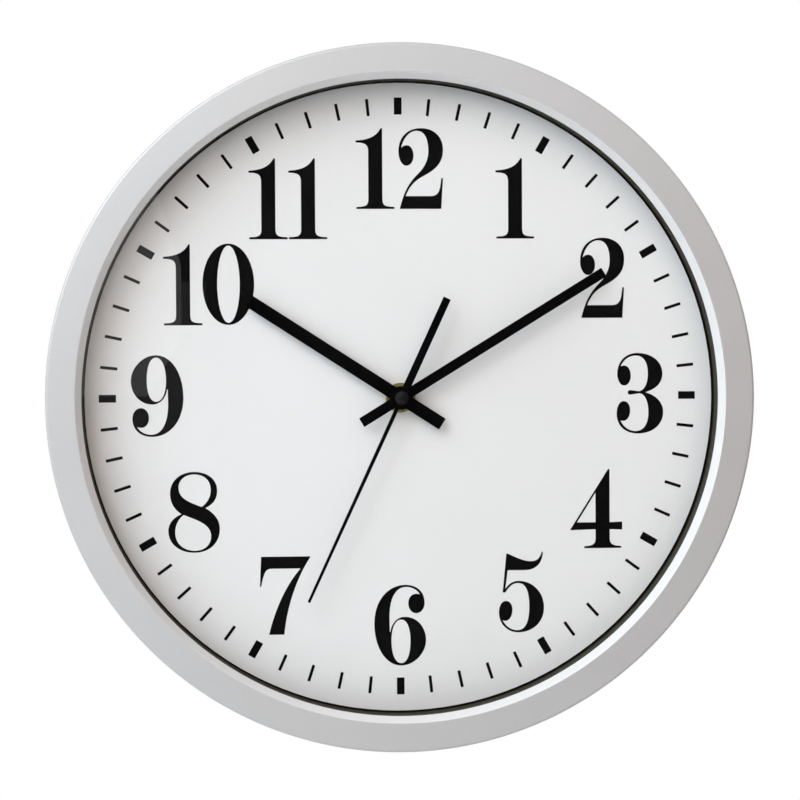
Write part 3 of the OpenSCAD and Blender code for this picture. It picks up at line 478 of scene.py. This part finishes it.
# Minute and hour strokes
# Printed black: twelve broad strokes at the hours and forty-eight fine ones between them. All print lies a
# little to the left of and above the hand axis.
PRINT = 0.04 * MM
STROKE_INNER = 121.1 * MM
STROKE_OUTER = 128.4 * MM
HOUR_STROKE = 3.3 * MM
MINUTE_STROKE = 1.3 * MM
PRINT_RIGHT = -0.55 * MM
PRINT_UP = 0.35 * MM
print_black = moulded_plastic(
    "print_black", (0.002, 0.002, 0.002), (0.004, 0.004, 0.004), 0.5, 1800.0, 0.004 * MM, 40.0, 0.04)


def print_on_dial(name, shape):
    """Gives a flat shape the thickness of the print and stands it up on the front of the dial."""
    thicken(shape, PRINT)
    upright = Matrix.Rotation(math.radians(90), 4, "X")
    place = Matrix.Translation((PRINT_RIGHT, DIAL_FRONT, PRINT_UP))
    bmesh.ops.transform(shape, matrix=place @ upright, verts=shape.verts)
    make_piece(name, shape, [print_black], "case")


def strokes(name, width, minutes):
    """A ring of printed strokes at some of the sixty minutes."""
    shape = bmesh.new()
    size = Matrix.Diagonal((width, STROKE_OUTER - STROKE_INNER, 1, 1))
    outwards = Matrix.Translation((0, (STROKE_INNER + STROKE_OUTER) / 2, 0))
    for minute in minutes:
        turn = Matrix.Rotation(-math.radians(6 * minute), 4, "Z")
        bmesh.ops.create_grid(shape, x_segments=1, y_segments=1, size=0.5, matrix=turn @ outwards @ size)
    print_on_dial(name, shape)


strokes("hour_strokes", HOUR_STROKE, range(0, 60, 5))
strokes("minute_strokes", MINUTE_STROKE, [m for m in range(60) if m % 5])

# Numbers
# Printed black in a bookish face with broad stems, hairlines and ball ends. Each figure is drawn on a grid 80
# units high: a point is a straight run to it, and three points are a curve's two handles and its end.
UNIT = 0.4306 * MM
BOW = 0.5523
FIGURE_W, FIGURE_H = 52, 80.2
CURVE_STEPS = 10
CURVE_MERGE = 0.002


def oval(x, y, across, up):
    """A closed oval as four curves."""
    return [(x, y + up),
            [(x + BOW * across, y + up), (x + across, y + BOW * up), (x + across, y)],
            [(x + across, y - BOW * up), (x + BOW * across, y - up), (x, y - up)],
            [(x - BOW * across, y - up), (x - across, y - BOW * up), (x - across, y)],
            [(x - across, y + BOW * up), (x - BOW * across, y + up), (x, y + up)]]


SIX = [
    [(31, 80.6), [(43, 80.6), (50.7, 73.5), (50.7, 62.5)], [(50.7, 56.5), (47, 52), (42.3, 52)],
     [(37.5, 52), (34.3, 56.5), (34.3, 62)], [(34.3, 67.5), (37.5, 71.5), (42, 71.5)],
     [(43.5, 71.5), (45, 71.2), (46, 70.7)], [(43.5, 75.5), (38, 78.5), (32, 78.5)],
     [(21, 78.5), (15.3, 66), (15.3, 48)], (15.6, 33.5), (16.2, 33.5), [(17.5, 42.5), (23, 48.5), (31, 48.5)],
     [(43, 48.5), (52, 38), (52, 25)], [(52, 12.5), (40.5, -0.4), (27, -0.4)],
     [(12, -0.4), (0.1, 17), (0.1, 42)], [(0.1, 65), (14, 80.6), (31, 80.6)]],
    [(27, 45.8), [(33, 45.8), (36.3, 37), (36.3, 25)], [(36.3, 11), (33, 2), (27, 2)],
     [(21, 2), (17.2, 11), (17.2, 25)], [(17.2, 37), (21, 45.8), (27, 45.8)]]]


def half_turn(step):
    """A step of an outline, turned by half a turn about the middle of the figure."""
    if isinstance(step, list):
        return [half_turn(point) for point in step]
    return (FIGURE_W - step[0], FIGURE_H - step[1])


FIGURES = {
    "0": [oval(25.6, 40.6, 25.6, 40.4), oval(25.7, 40.6, 11.2, 38.4)],
    "1": [[(0, 0), (38, 0), (38, 2), [(29, 2.2), (26, 3), (26, 10)], (26, 80), (24.5, 80.3),
           [(20.5, 72.5), (13, 68.5), (-0.5, 68)], (-0.5, 66), [(9, 66), (12, 64), (12, 57)], (12, 10),
           [(12, 3), (9, 2.2), (0, 2)]]],
    "2": [[(1.5, 0), (43, 0), (44.8, 30.5), (43, 30.5), [(42, 17), (40, 12.7), (32, 12.7)], (7.5, 12.7),
           [(11, 22), (16, 27.5), (24, 32)], [(34, 37.5), (45, 43), (45, 59)],
           [(45, 72), (36, 80.3), (23, 80.3)],
           [(9, 80.3), (0.4, 71), (0.4, 57)], [(0.4, 49), (4, 43), (8.3, 43)],
           [(12.5, 43), (15.5, 47.5), (15.5, 53)], [(15.5, 59), (12.5, 63.3), (8.8, 63.3)],
           [(6, 63.3), (4.2, 62), (3.2, 60.5)], [(4.5, 69), (11, 77.7), (18.5, 77.7)],
           [(27, 77.7), (30.3, 69), (30.3, 58)], [(30.3, 48), (26, 41), (20, 35)],
           [(12, 27), (6, 19), (1.5, 0)]]],
    "3": [[(1, 60), [(1, 72), (9, 81), (21, 81)], [(36, 81), (46.8, 72.5), (46.8, 60.5)],
           [(46.8, 51), (41, 45), (29.5, 41.5)], [(41, 38), (47.5, 31), (47.5, 21.5)],
           [(47.5, 9), (37, 0), (22, 0)], [(9, 0), (0.3, 7.5), (0.3, 20)],
           [(0.3, 27), (3, 32.7), (7.5, 32.7)],
           [(11.5, 32.7), (14, 28.5), (14, 23.5)], [(14, 17.5), (11, 12.8), (7, 12.8)],
           [(6, 12.8), (5, 12.9), (4.2, 13.3)], [(7, 6.5), (13, 2.5), (19.5, 2.5)],
           [(28, 2.5), (32.5, 10), (32.5, 21.5)], [(32.5, 31), (29.5, 40), (23.5, 40.5)], (14.5, 39.2),
           [(12.7, 39), (11.6, 40), (11.6, 41.4)], [(11.6, 42.8), (12.7, 43.8), (14.5, 43.7)], (23, 42.5),
           [(29, 43.5), (32, 51), (32, 60.5)], [(32, 71), (28, 78.4), (20, 78.4)],
           [(13, 78.4), (7.5, 74.5), (4.5, 67.6)], [(5.5, 68.1), (6.5, 68.4), (8, 68.4)],
           [(12, 68.4), (14.7, 64), (14.7, 58.5)], [(14.7, 52.5), (12, 48.4), (8, 48.4)],
           [(4, 48.4), (1, 54), (1, 60)]]],
    "4": [[(14, 0), (51.5, 0), (51.5, 2), [(43, 2.2), (39.8, 4), (39.8, 10)], (39.8, 19), (52.5, 18.5),
           (52.5, 26.5), (39.8, 26), (39.8, 79), (39, 79.8), (38.3, 79.5), (0, 19), (0.3, 18.3), (25.5, 19),
           (25.5, 10), [(25.5, 4), (22.5, 2.2), (14, 2)]],
          [(25.5, 56), (25.5, 26), (6.7, 26)]],
    "5": [[(4.5, 40.3), (8.3, 79.5), (9.8, 79.4), [(18, 75.5), (26, 71.5), (33, 71.5)],
           [(40, 71.5), (42.5, 75), (44, 81)], (45.3, 80.8), [(44.5, 69), (38, 62.6), (27, 62.6)],
           (9.6, 62.6),
           (7.2, 44), [(10.5, 49), (15, 51.8), (20.5, 51.8)], [(35, 51.8), (46.2, 40), (46.2, 25)],
           [(46.2, 10), (35, 0), (20, 0)], [(9, 0), (0.6, 9), (0.6, 20)],
           [(0.6, 27), (3.5, 31.8), (7.8, 31.8)],
           [(11.8, 31.8), (14.3, 28), (14.3, 23)], [(14.3, 16.5), (11, 11.7), (7, 11.7)],
           [(6, 11.7), (5, 12), (4.3, 12.5)], [(7.5, 6), (13, 2.2), (19.5, 2.2)],
           [(28, 2.2), (31.3, 12), (31.3, 26.5)], [(31.3, 41), (28, 49.7), (20, 49.7)],
           [(15, 49.7), (11, 46.5), (7.2, 40.3)]]],
    "6": SIX,
    "7": [[(9.3, 0), [(15, 24), (26, 49), (41, 66)], (12, 66), [(6, 66), (4.2, 61), (1.7, 48)], (0.5, 48),
           (1.8, 78), (50.8, 78), (50.8, 77.3), [(38, 58), (27.5, 30), (24.5, 0)]]],
    "8": [[(26, 80.5), [(40, 80.5), (48.9, 72.5), (48.9, 62)], [(48.9, 53.5), (45, 48), (37, 44.4)],
           [(46.5, 39), (51.3, 32), (51.3, 23.5)], [(51.3, 9.5), (41, 0), (26, 0)],
           [(11, 0), (0.2, 9), (0.2, 21.5)], [(0.2, 29.5), (5, 35), (13.3, 38.7)],
           [(6, 43), (2.1, 50.5), (2.1, 59)], [(2.1, 71.5), (12, 80.5), (26, 80.5)]],
          [(26, 78), [(36, 78), (42.5, 72), (42.5, 62.5)], [(42.5, 56), (39.5, 50), (33.5, 45.6)],
           [(20, 50.5), (10.6, 54.5), (10.6, 65)], [(10.6, 72.5), (17, 78), (26, 78)]],
          [(15.5, 37.7), [(30, 32), (42.6, 28), (42.6, 16.5)], [(42.6, 7.5), (36, 1.9), (26.5, 1.9)],
           [(15, 1.9), (7, 9.5), (7, 20)], [(7, 27.5), (10, 33.5), (15.5, 37.7)]]],
    "9": [[half_turn(step) for step in outline] for outline in SIX]}

# The middle of each number, in millimetres right of and above the middle of the print, and the step from a
# first 1 to the figure after it, in units.
NUMBER_PLACES = {
    "12": (0.6, 98.0), "1": (50.3, 85.2), "2": (88.1, 50.9), "3": (104.4, 0.9), "4": (85.2, -48.9),
    "5": (52.5, -84.8), "6": (-0.1, -98.5), "7": (-49.5, -85.1), "8": (-88.3, -48.9), "9": (-103.6, 1.0),
    "10": (-81.3, 48.6), "11": (-47.3, 85.1)}
FIGURE_STEP = {"10": 38.3, "11": 39.5, "12": 41.8}


def draw_outline(curve, outline, shift):
    """One closed outline of a figure as a spline with free handles."""
    knots = []
    for step in outline:
        curved = isinstance(step, list)
        point = Vector(step[-1] if curved else step)
        if knots:
            before = knots[-1]
            before["out"] = Vector(step[0]) if curved else before["at"].lerp(point, 1 / 3)
        knots.append({"at": point, "in": Vector(step[1]) if curved else None, "out": None})
    if (knots[-1]["at"] - knots[0]["at"]).length < 0.01:
        knots[0]["in"] = knots.pop()["in"]
    spline = curve.splines.new("BEZIER")
    spline.use_cyclic_u = True
    spline.bezier_points.add(len(knots) - 1)
    for i, (knot, target) in enumerate(zip(knots, spline.bezier_points)):
        arrive = knot["in"] or knot["at"].lerp(knots[i - 1]["at"], 1 / 3)
        leave = knot["out"] or knot["at"].lerp(knots[(i + 1) % len(knots)]["at"], 1 / 3)
        target.handle_left_type = target.handle_right_type = "FREE"
        target.co = (knot["at"].x + shift, knot["at"].y, 0)
        target.handle_left = (arrive.x + shift, arrive.y, 0)
        target.handle_right = (leave.x + shift, leave.y, 0)


def print_number(number, middle):
    """A number's figures are drawn as filled curves, made a mesh and laid on the dial."""
    curve = bpy.data.curves.new("number_curve", "CURVE")
    curve.dimensions = "2D"
    curve.fill_mode = "BOTH"
    curve.resolution_u = CURVE_STEPS
    for i, figure in enumerate(number):
        for outline in FIGURES[figure]:
            draw_outline(curve, outline, i * FIGURE_STEP.get(number, 0))
    drawn = bpy.data.objects.new("number_curve", curve)
    flat = drawn.to_mesh()
    shape = bmesh.new()
    shape.from_mesh(flat)
    drawn.to_mesh_clear()
    bpy.data.objects.remove(drawn)
    bmesh.ops.remove_doubles(shape, verts=shape.verts, dist=CURVE_MERGE)
    low = Vector((min(v.co.x for v in shape.verts), min(v.co.y for v in shape.verts), 0))
    high = Vector((max(v.co.x for v in shape.verts), max(v.co.y for v in shape.verts), 0))
    bmesh.ops.translate(shape, vec=-(low + high) / 2, verts=shape.verts)
    bmesh.ops.scale(shape, vec=(UNIT, UNIT, 1), verts=shape.verts)
    bmesh.ops.translate(shape, vec=(middle[0] * MM, middle[1] * MM, 0), verts=shape.verts)
    print_on_dial("number_" + number, shape)


for number, middle in NUMBER_PLACES.items():
    print_number(number, middle)

# Bushing, dial washer and nut
# Turned brass. The nut clamps the dial, the back plate and the movement together on the threaded bushing. A
# thin washer lies between nut and dial and shows round the hub of the hands.
FILM_SCALE = 260.0
turned_rings, group_in, group_out = effect_group("turned_rings", {"Rings": 6000.0}, ["Height", "Stain"])
around = turned_rings.nodes.new("ShaderNodeVectorMath")
around.operation = "MULTIPLY"
around.inputs[1].default_value = (1, 0, 1)
turned_rings.links.new(group_in.outputs["Vector"], around.inputs[0])
reach = turned_rings.nodes.new("ShaderNodeVectorMath")
reach.operation = "LENGTH"
turned_rings.links.new(around.outputs["Vector"], reach.inputs[0])
ring_line = turned_rings.nodes.new("ShaderNodeCombineXYZ")
turned_rings.links.new(reach.outputs["Value"], ring_line.inputs["X"])
rings = noise(turned_rings, ring_line.outputs["Vector"], group_in.outputs["Rings"], 1.0)
film = noise(turned_rings, group_in.outputs["Vector"], FILM_SCALE, 3.0, 0.8)
turned_rings.links.new(rings, group_out.inputs["Height"])
turned_rings.links.new(film, group_out.inputs["Stain"])


def turned_brass(name):
    """Brass with the fine rings of a lathe tool and a dull film."""
    material, tree, shader, vector = start_material(name)
    surface = use_group(tree, turned_rings, vector)
    shader.inputs["Metallic"].default_value = 1.0
    tint(tree, shader, surface["Stain"], (0.42, 0.34, 0.1), (0.56, 0.46, 0.16))
    vary(tree, surface["Height"], shader.inputs["Roughness"], 0.3, 0.46)
    emboss(tree, shader, surface["Height"], 0.008 * MM)
    return material


brass = turned_brass("turned_brass")
rounded_copy("dial_washer", 0.06 * MM, brass)
rounded_copy("hex_nut", 0.18 * MM, brass)
dress("threaded_bushing", brass)

# Hands
# Straight strips of aluminium sheet in black lacquer, punched with their hubs and pressed on their tubes. The
# second hand has a thin pointer and a broad counterweight.
hand_black = moulded_plastic(
    "hand_lacquer", (0.001, 0.001, 0.001), (0.002, 0.002, 0.002), 0.5, 3000.0, 0.006 * MM, 50.0, 0.02)
for hand in ("hour_hand", "minute_hand", "second_hand"):
    rounded_copy(hand, 0.07 * MM, hand_black)

# Cap of the second hand
# A glossy black dome moulded in one piece and pressed on the end of the arbor.
cap_low, cap_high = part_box("second_hand_cap")
CAP_R = cap_high.x
CAP_H = cap_high.y - cap_low.y
CAP_ARC = 14
CAP_STEPS = 64
dome_r = (CAP_R ** 2 + CAP_H ** 2) / (2 * CAP_H)
dome_half = math.asin(CAP_R / dome_r)
cap_black = moulded_plastic(
    "cap_gloss", (0.004, 0.004, 0.004), (0.007, 0.007, 0.007), 0.2, 900.0, 0.002 * MM, 200.0, 0.2)
lean = [dome_half * i / CAP_ARC for i in range(CAP_ARC + 1)]
cap_points = [(dome_r * math.sin(a), cap_low.y + dome_r * (1 - math.cos(a)), 0) for a in lean]
shape = spun(cap_points + [(0, cap_high.y, 0)], False, (0, 0, 0), (0, 1, 0), CAP_STEPS)
make_piece("hand_cap", shape, [cap_black], "seconds", "second_hand_cap")

# Spacer ring
# A black moulded ring that keeps the glass off the dial. Its inner wall shows as a thin dark line inside the
# bezel. Its colour carries painted shade: dead black at the foot and a lighter dull grey towards the glass,
# where more light reaches it.
RING_PAINTED_SHADE_TONES = [(0.42, (0.003, 0.003, 0.003)), (0.58, (0.06, 0.055, 0.042))]
ring_low, ring_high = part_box("spacer_ring")


def ring_wall_with_painted_shade(name):
    """Matt black plastic with painted shade: black at the foot, turning to a lighter dull olive grey half way
    up.
    """
    material, tree, shader, vector = start_material(name)
    up = along_axis(tree, vector, "Y", ring_high.y, ring_low.y)
    # Painted shade: the base colour is darkest at the foot of the wall and lighter towards the glass.
    tone_ramp(tree, up, shader.inputs["Base Color"], RING_PAINTED_SHADE_TONES)
    surface = use_group(tree, moulded_grain, vector, Grain=2200.0, Patches=40.0)
    shader.inputs["Specular IOR Level"].default_value = 0.0
    vary(tree, surface["Mottle"], shader.inputs["Roughness"], 0.54, 0.66)
    emboss(tree, shader, surface["Height"], 0.01 * MM)
    return material


rounded_copy("spacer_ring", 0.15 * MM, ring_wall_with_painted_shade("ring_black_painted_shade"))

# Glass
# A flat disc of float glass, cut to size and ground at the edge. It lies in its well behind the bezel's lip,
# held by the spacer ring, and lets the lamps through to the dial.


def float_glass(name):
    """Clear glass, faintly green in the mass, that casts no dark shadow."""
    material, tree, shader, vector = start_material(name)
    surface = use_group(tree, moulded_grain, vector, Grain=60.0, Patches=14.0)
    shader.inputs["Base Color"].default_value = (0.985, 0.995, 0.99, 1)
    shader.inputs["Transmission Weight"].default_value = 1.0
    shader.inputs["IOR"].default_value = 1.5
    vary(tree, surface["Mottle"], shader.inputs["Roughness"], 0.0, 0.02)
    clear = tree.nodes.new("ShaderNodeBsdfTransparent")
    path = tree.nodes.new("ShaderNodeLightPath")
    either = tree.nodes.new("ShaderNodeMath")
    either.operation = "MAXIMUM"
    tree.links.new(path.outputs["Is Shadow Ray"], either.inputs[0])
    tree.links.new(path.outputs["Is Diffuse Ray"], either.inputs[1])
    mix = tree.nodes.new("ShaderNodeMixShader")
    tree.links.new(either.outputs[0], mix.inputs[0])
    tree.links.new(shader.outputs[0], mix.inputs[1])
    tree.links.new(clear.outputs[0], mix.inputs[2])
    tree.links.new(mix.outputs[0], tree.nodes["Material Output"].inputs["Surface"])
    return material


dress("lens", float_glass("float_glass"))

# Bezel
# One moulding in satin silver paint, with a lighter copy of the paint on the bevel as painted light: a
# tapered side, a face that falls outwards from a fine ridge, a bevel down to the lip, and behind them the
# well of the glass, screw bosses and ribs.
bezel_low, bezel_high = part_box("bezel")
lens_low, lens_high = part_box("lens")
CASE_R = bezel_high.x
RIDGE_H = -bezel_low.y
GLASS_H = -lens_low.y
GLASS_REAR_H = -lens_high.y
DIAL_REAR_H = -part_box("dial")[1].y
WALL = 2.6 * MM
DRAFT = 1.0 * MM
REAR_CHAMFER = 0.4 * MM
RIM_W = 12.7 * MM
BEVEL_W = 2.2 * MM
LAND = 0.8 * MM
FACE_FALL = 1.2 * MM
WELL_GAP = 0.3 * MM
WELL_WALL = 2.2 * MM
EDGE_ROUND = 1.3 * MM
RIDGE_ROUND = 0.35 * MM
SMALL_ROUND = 0.2 * MM
BEZEL_STEPS = 288
BOSSES = 8
BOSS_R = 2.6 * MM
BOSS_STEPS = 32
RIBS = 24
RIB_T = 1.4 * MM
ridge_r = CASE_R - RIM_W
opening_r = ridge_r - BEVEL_W
inside_r = CASE_R - WALL
well_r = lens_high.x + WELL_GAP
well_out_r = well_r + WELL_WALL
under_h = RIDGE_H - FACE_FALL - WALL
bezel_outline = [
    (inside_r, 0), (CASE_R - DRAFT - REAR_CHAMFER, 0), (CASE_R - DRAFT, REAR_CHAMFER),
    (CASE_R, RIDGE_H - FACE_FALL), (ridge_r, RIDGE_H), (opening_r, GLASS_H + LAND), (opening_r, GLASS_H),
    (well_r, GLASS_H), (well_r, DIAL_REAR_H), (well_out_r, DIAL_REAR_H),
    (well_out_r, under_h + FACE_FALL / 2), (inside_r, under_h)]


def silver_paint(name, low, high, metallic):
    """Satin silver paint: very fine flakes, a faint orange-peel skin and slow changes of gloss."""
    material, tree, shader, vector = start_material(name)
    surface = use_group(tree, moulded_grain, vector, Grain=5200.0, Patches=22.0)
    shader.inputs["Metallic"].default_value = metallic
    tint(tree, shader, surface["Height"], low, high)
    vary(tree, surface["Mottle"], shader.inputs["Roughness"], 0.36, 0.46)
    emboss(tree, shader, surface["Height"], 0.006 * MM)
    return material


def edges_at(shape, r, h):
    """The ring of edges at one radius and height of a spun shape."""
    near = 0.02 * MM
    return [e for e in shape.edges if all(
        abs(math.hypot(v.co.x, v.co.z) - r) < near and abs(v.co.y + h) < near for v in e.verts)]


shape = spun([(r, -h, 0) for r, h in bezel_outline], True, (0, 0, 0), (0, 1, 0), BEZEL_STEPS)
for face in shape.faces:
    middle = face.calc_center_median()
    on_bevel = opening_r < math.hypot(middle.x, middle.z) < ridge_r and -middle.y > GLASS_H + LAND
    face.material_index = 1 if on_bevel else 0
for (r, h), width, steps in ((bezel_outline[3], EDGE_ROUND, 8), (bezel_outline[4], RIDGE_ROUND, 4),
                             (bezel_outline[5], SMALL_ROUND, 2), (bezel_outline[6], SMALL_ROUND, 2)):
    round_edges(shape, edges_at(shape, r, h), width, steps, False)
boss_ring_r = (well_out_r + inside_r) / 2
stiff_top_h = under_h + WALL / 2
rib_in_r = well_r + WELL_WALL / 2
rib_foot_h = GLASS_REAR_H - WELL_WALL
boss_lie = Matrix.Rotation(math.radians(90), 4, "X")
boss_place = Matrix.Translation((boss_ring_r, -(DIAL_REAR_H + stiff_top_h) / 2, 0)) @ boss_lie
rib_place = Matrix.Translation(((rib_in_r + inside_r + WALL / 2) / 2, -(rib_foot_h + stiff_top_h) / 2, 0))
rib_size = Matrix.Diagonal((inside_r + WALL / 2 - rib_in_r, stiff_top_h - rib_foot_h, RIB_T, 1))
for i in range(BOSSES):
    turn = Matrix.Rotation(2 * math.pi * (i + 0.5) / BOSSES, 4, "Y")
    bmesh.ops.create_cone(
        shape, cap_ends=True, segments=BOSS_STEPS, radius1=BOSS_R, radius2=BOSS_R,
        depth=stiff_top_h - DIAL_REAR_H, matrix=turn @ boss_place)
for i in range(RIBS):
    turn = Matrix.Rotation(2 * math.pi * i / RIBS, 4, "Y")
    bmesh.ops.create_cube(shape, size=1, matrix=turn @ rib_place @ rib_size)
silver_satin = silver_paint("silver_satin", (0.53, 0.53, 0.535), (0.59, 0.59, 0.595), 0.25)
# Painted light: the bevel gets a lighter, less metallic copy of the silver paint for the brightness it
# catches.
silver_painted_light_bevel = silver_paint("silver_painted_light_bevel", (0.81, 0.81, 0.815), (0.85, 0.85, 0.855), 0.05)
make_piece("bezel_moulding", shape, [silver_satin, silver_painted_light_bevel], "case", "bezel")

# Studio
# A pale floor that fades into a white surround. Daylight comes from three soft lamps on the left and a warmer
# light from the front. Three lamps behind light the outer edge and the back. A dark card behind the camera
# keeps the glass clear but for one mirrored window.
FLOOR_DOWN = 0.6
FLOOR_HALF = 1.8
FADE_FROM = 0.75


def pale_floor(name):
    """Pale and matt, and fading into the white surround towards its edge, for the camera alone."""
    material, tree, shader, vector = start_material(name)
    surface = use_group(tree, moulded_grain, vector, Grain=220.0, Patches=3.0)
    tint(tree, shader, surface["Mottle"], (0.8, 0.8, 0.8), (0.84, 0.84, 0.84))
    vary(tree, surface["Height"], shader.inputs["Roughness"], 0.7, 0.85)
    away = tree.nodes.new("ShaderNodeVectorMath")
    away.operation = "LENGTH"
    fade = tree.nodes.new("ShaderNodeMapRange")
    fade.interpolation_type = "SMOOTHSTEP"
    fade.inputs["From Min"].default_value = FADE_FROM
    fade.inputs["From Max"].default_value = FLOOR_HALF
    seen = tree.nodes.new("ShaderNodeMath")
    seen.operation = "MULTIPLY"
    path = tree.nodes.new("ShaderNodeLightPath")
    tree.links.new(vector, away.inputs[0])
    tree.links.new(away.outputs["Value"], fade.inputs["Value"])
    tree.links.new(fade.outputs["Result"], seen.inputs[0])
    tree.links.new(path.outputs["Is Camera Ray"], seen.inputs[1])
    shader.inputs["Emission Color"].default_value = (1, 1, 1, 1)
    tree.links.new(seen.outputs[0], shader.inputs["Emission Strength"])
    return material


def stage_mesh(name, shape, material):
    """A finished bmesh becomes an object of the studio."""
    mesh = bpy.data.meshes.new(name)
    shape.to_mesh(mesh)
    shape.free()
    mesh.materials.append(material)
    stage_piece = bpy.data.objects.new(name, mesh)
    bpy.context.scene.collection.objects.link(stage_piece)
    return stage_piece


shape = bmesh.new()
bmesh.ops.create_grid(
    shape, x_segments=8, y_segments=8, size=FLOOR_HALF, matrix=Matrix.Translation((0, 0, -FLOOR_DOWN)))
stage_mesh("floor", shape, pale_floor("floor_pale"))

CARD_AWAY = 1.6
CARD_UP = 0.42
CARD_LEFT = -0.75
CARD_RIGHT = 1.3
CARD_SIDE = 2.2
CARD_TONES = [
    (CARD_LEFT, (0.85, 0.85, 0.87)), (-0.42, (0.6, 0.6, 0.61)), (-0.35, (0.012, 0.012, 0.012)),
    (0.505, (0.012, 0.012, 0.012)), (0.75, (0.48, 0.36, 0.3)), (1.28, (0.3, 0.16, 0.09))]


def card_tones(name):
    """Light on the left, nearly black in the middle and a dull warm tone on the right."""
    material, tree, shader, vector = start_material(name)
    across = along_axis(tree, vector, "X", CARD_LEFT, CARD_RIGHT)
    stops = [((x - CARD_LEFT) / (CARD_RIGHT - CARD_LEFT), tone) for x, tone in CARD_TONES]
    tone_ramp(tree, across, shader.inputs["Emission Color"], stops)
    shader.inputs["Base Color"].default_value = (0, 0, 0, 1)
    shader.inputs["Specular IOR Level"].default_value = 0.0
    shader.inputs["Emission Strength"].default_value = 1.0
    return material


def stage_card(name, shape, material):
    """A glowing card that only glass and paint mirror: it is not seen and throws no light or shadow."""
    card = stage_mesh(name, shape, material)
    card.visible_camera = False
    card.visible_diffuse = False
    card.visible_shadow = False


shape = bmesh.new()
corners = [(CARD_RIGHT, CARD_SIDE - CARD_AWAY), (CARD_RIGHT, -CARD_AWAY), (CARD_LEFT, -CARD_AWAY)]
foot = [shape.verts.new((x, y, -CARD_UP)) for x, y in corners]
wire = [shape.edges.new(pair) for pair in zip(foot, foot[1:])]
raised = bmesh.ops.extrude_edge_only(shape, edges=wire)
tops = [v for v in raised["geom"] if isinstance(v, bmesh.types.BMVert)]
bmesh.ops.translate(shape, vec=(0, 0, 2 * CARD_UP), verts=tops)
stage_card("studio_card", shape, card_tones("card_tones"))

# The window that the glass mirrors over the 9 and the 10: a bright pane and, behind it, a wider faint one.
PANE_GAP = 0.01
WINDOW_PANES = [
    ("window_haze", 0.12, [(-0.3, 0.1), (-0.13, 0.1), (-0.13, -0.12), (-0.3, -0.12)]),
    ("window_pane", 0.42, [(-0.31, 0.215), (-0.19, 0.215), (-0.158, 0.12), (-0.158, 0.034), (-0.198, -0.03),
                           (-0.31, -0.03)])]


def pane_glow(name, tone):
    """An even glow with slow, faint clouds."""
    material, tree, shader, vector = start_material(name)
    surface = use_group(tree, moulded_grain, vector, Grain=40.0, Patches=8.0)
    shader.inputs["Base Color"].default_value = (0, 0, 0, 1)
    shader.inputs["Specular IOR Level"].default_value = 0.0
    shader.inputs["Emission Color"].default_value = (1, 1, 1, 1)
    vary(tree, surface["Mottle"], shader.inputs["Emission Strength"], 0.9 * tone, 1.1 * tone)
    return material


for i, (name, tone, corners) in enumerate(WINDOW_PANES):
    shape = bmesh.new()
    pane_y = PANE_GAP * (i + 1) - CARD_AWAY
    shape.faces.new([shape.verts.new((x, pane_y, z)) for x, z in corners])
    stage_card(name, shape, pane_glow(name, tone))


def lamp(name, at, size, power, colour, shine=False):
    """A square soft lamp that faces the middle of the clock. Paint and cap mirror it only if it shines."""
    light = bpy.data.lights.new(name, "AREA")
    light.shape = "SQUARE"
    light.size = size
    light.energy = power
    light.color = colour
    stand = bpy.data.objects.new(name, light)
    stand.location = at
    stand.rotation_euler = (-Vector(at)).to_track_quat("-Z", "Y").to_euler()
    stand.visible_glossy = shine
    stand.visible_transmission = False
    bpy.context.scene.collection.objects.link(stand)


DAYLIGHT = (0.86, 0.945, 1.0)
lamp("window_lamp", (-0.96, -0.85, 0.96), 1.4, 19.5, DAYLIGHT, True)
lamp("high_lamp", (-0.65, -1.41, 0.38), 1.6, 8.8, DAYLIGHT)
lamp("side_lamp", (-1.31, -0.85, -0.35), 1.2, 3.0, DAYLIGHT)
lamp("front_lamp", (0.12, -1.4, 0.75), 1.6, 8.9, (1.0, 0.77, 0.63))
lamp("rear_lamp", (-0.7, 1.3, 0.8), 0.9, 14.0, DAYLIGHT)
lamp("rear_right_lamp", (0.95, 0.6, 0.25), 0.8, 6.0, (1.0, 0.9, 0.85))
lamp("rear_low_lamp", (0.1, 0.45, -0.52), 0.7, 2.0, (1.0, 0.98, 0.97))

SURROUND = (0.06, 0.06, 0.06)
world = bpy.data.worlds.new("surround")
bpy.context.scene.world = world
world.use_nodes = True
tree = world.node_tree
path = tree.nodes.new("ShaderNodeLightPath")
seen = path.outputs["Is Camera Ray"]
for ray in ("Is Glossy Ray", "Is Transmission Ray"):
    either = tree.nodes.new("ShaderNodeMath")
    either.operation = "MAXIMUM"
    tree.links.new(seen, either.inputs[0])
    tree.links.new(path.outputs[ray], either.inputs[1])
    seen = either.outputs[0]
tone_ramp(tree, seen, tree.nodes["Background"].inputs["Color"], [(0.0, SURROUND), (1.0, (1, 1, 1))])

# Camera
# In front of the clock, a little to the left of and above its axis, aimed at the middle of the rim and turned
# by a third of a degree.
RIM_H = 41 * MM
CAMERA_AWAY = 0.9
CAMERA_LEFT = 55 * MM
CAMERA_UP = 20 * MM
AIM_RIGHT = -1.2 * MM
AIM_UP = -0.63 * MM
ROLL = math.radians(-0.3)
SENSOR = 36
LENS = 96.05
camera_data = bpy.data.cameras.new("camera")
camera_data.sensor_width = SENSOR
camera_data.lens = LENS
camera = bpy.data.objects.new("camera", camera_data)
bpy.context.scene.collection.objects.link(camera)
camera.location = (-CAMERA_LEFT, -RIM_H - CAMERA_AWAY, CAMERA_UP)
sight = Vector((AIM_RIGHT, -RIM_H, AIM_UP)) - camera.location
facing = sight.to_track_quat("-Z", "Y").to_matrix()
camera.rotation_euler = (facing @ Matrix.Rotation(ROLL, 3, "Z")).to_euler()
bpy.context.scene.camera = camera
bpy.context.scene.view_settings.view_transform = "Standard"
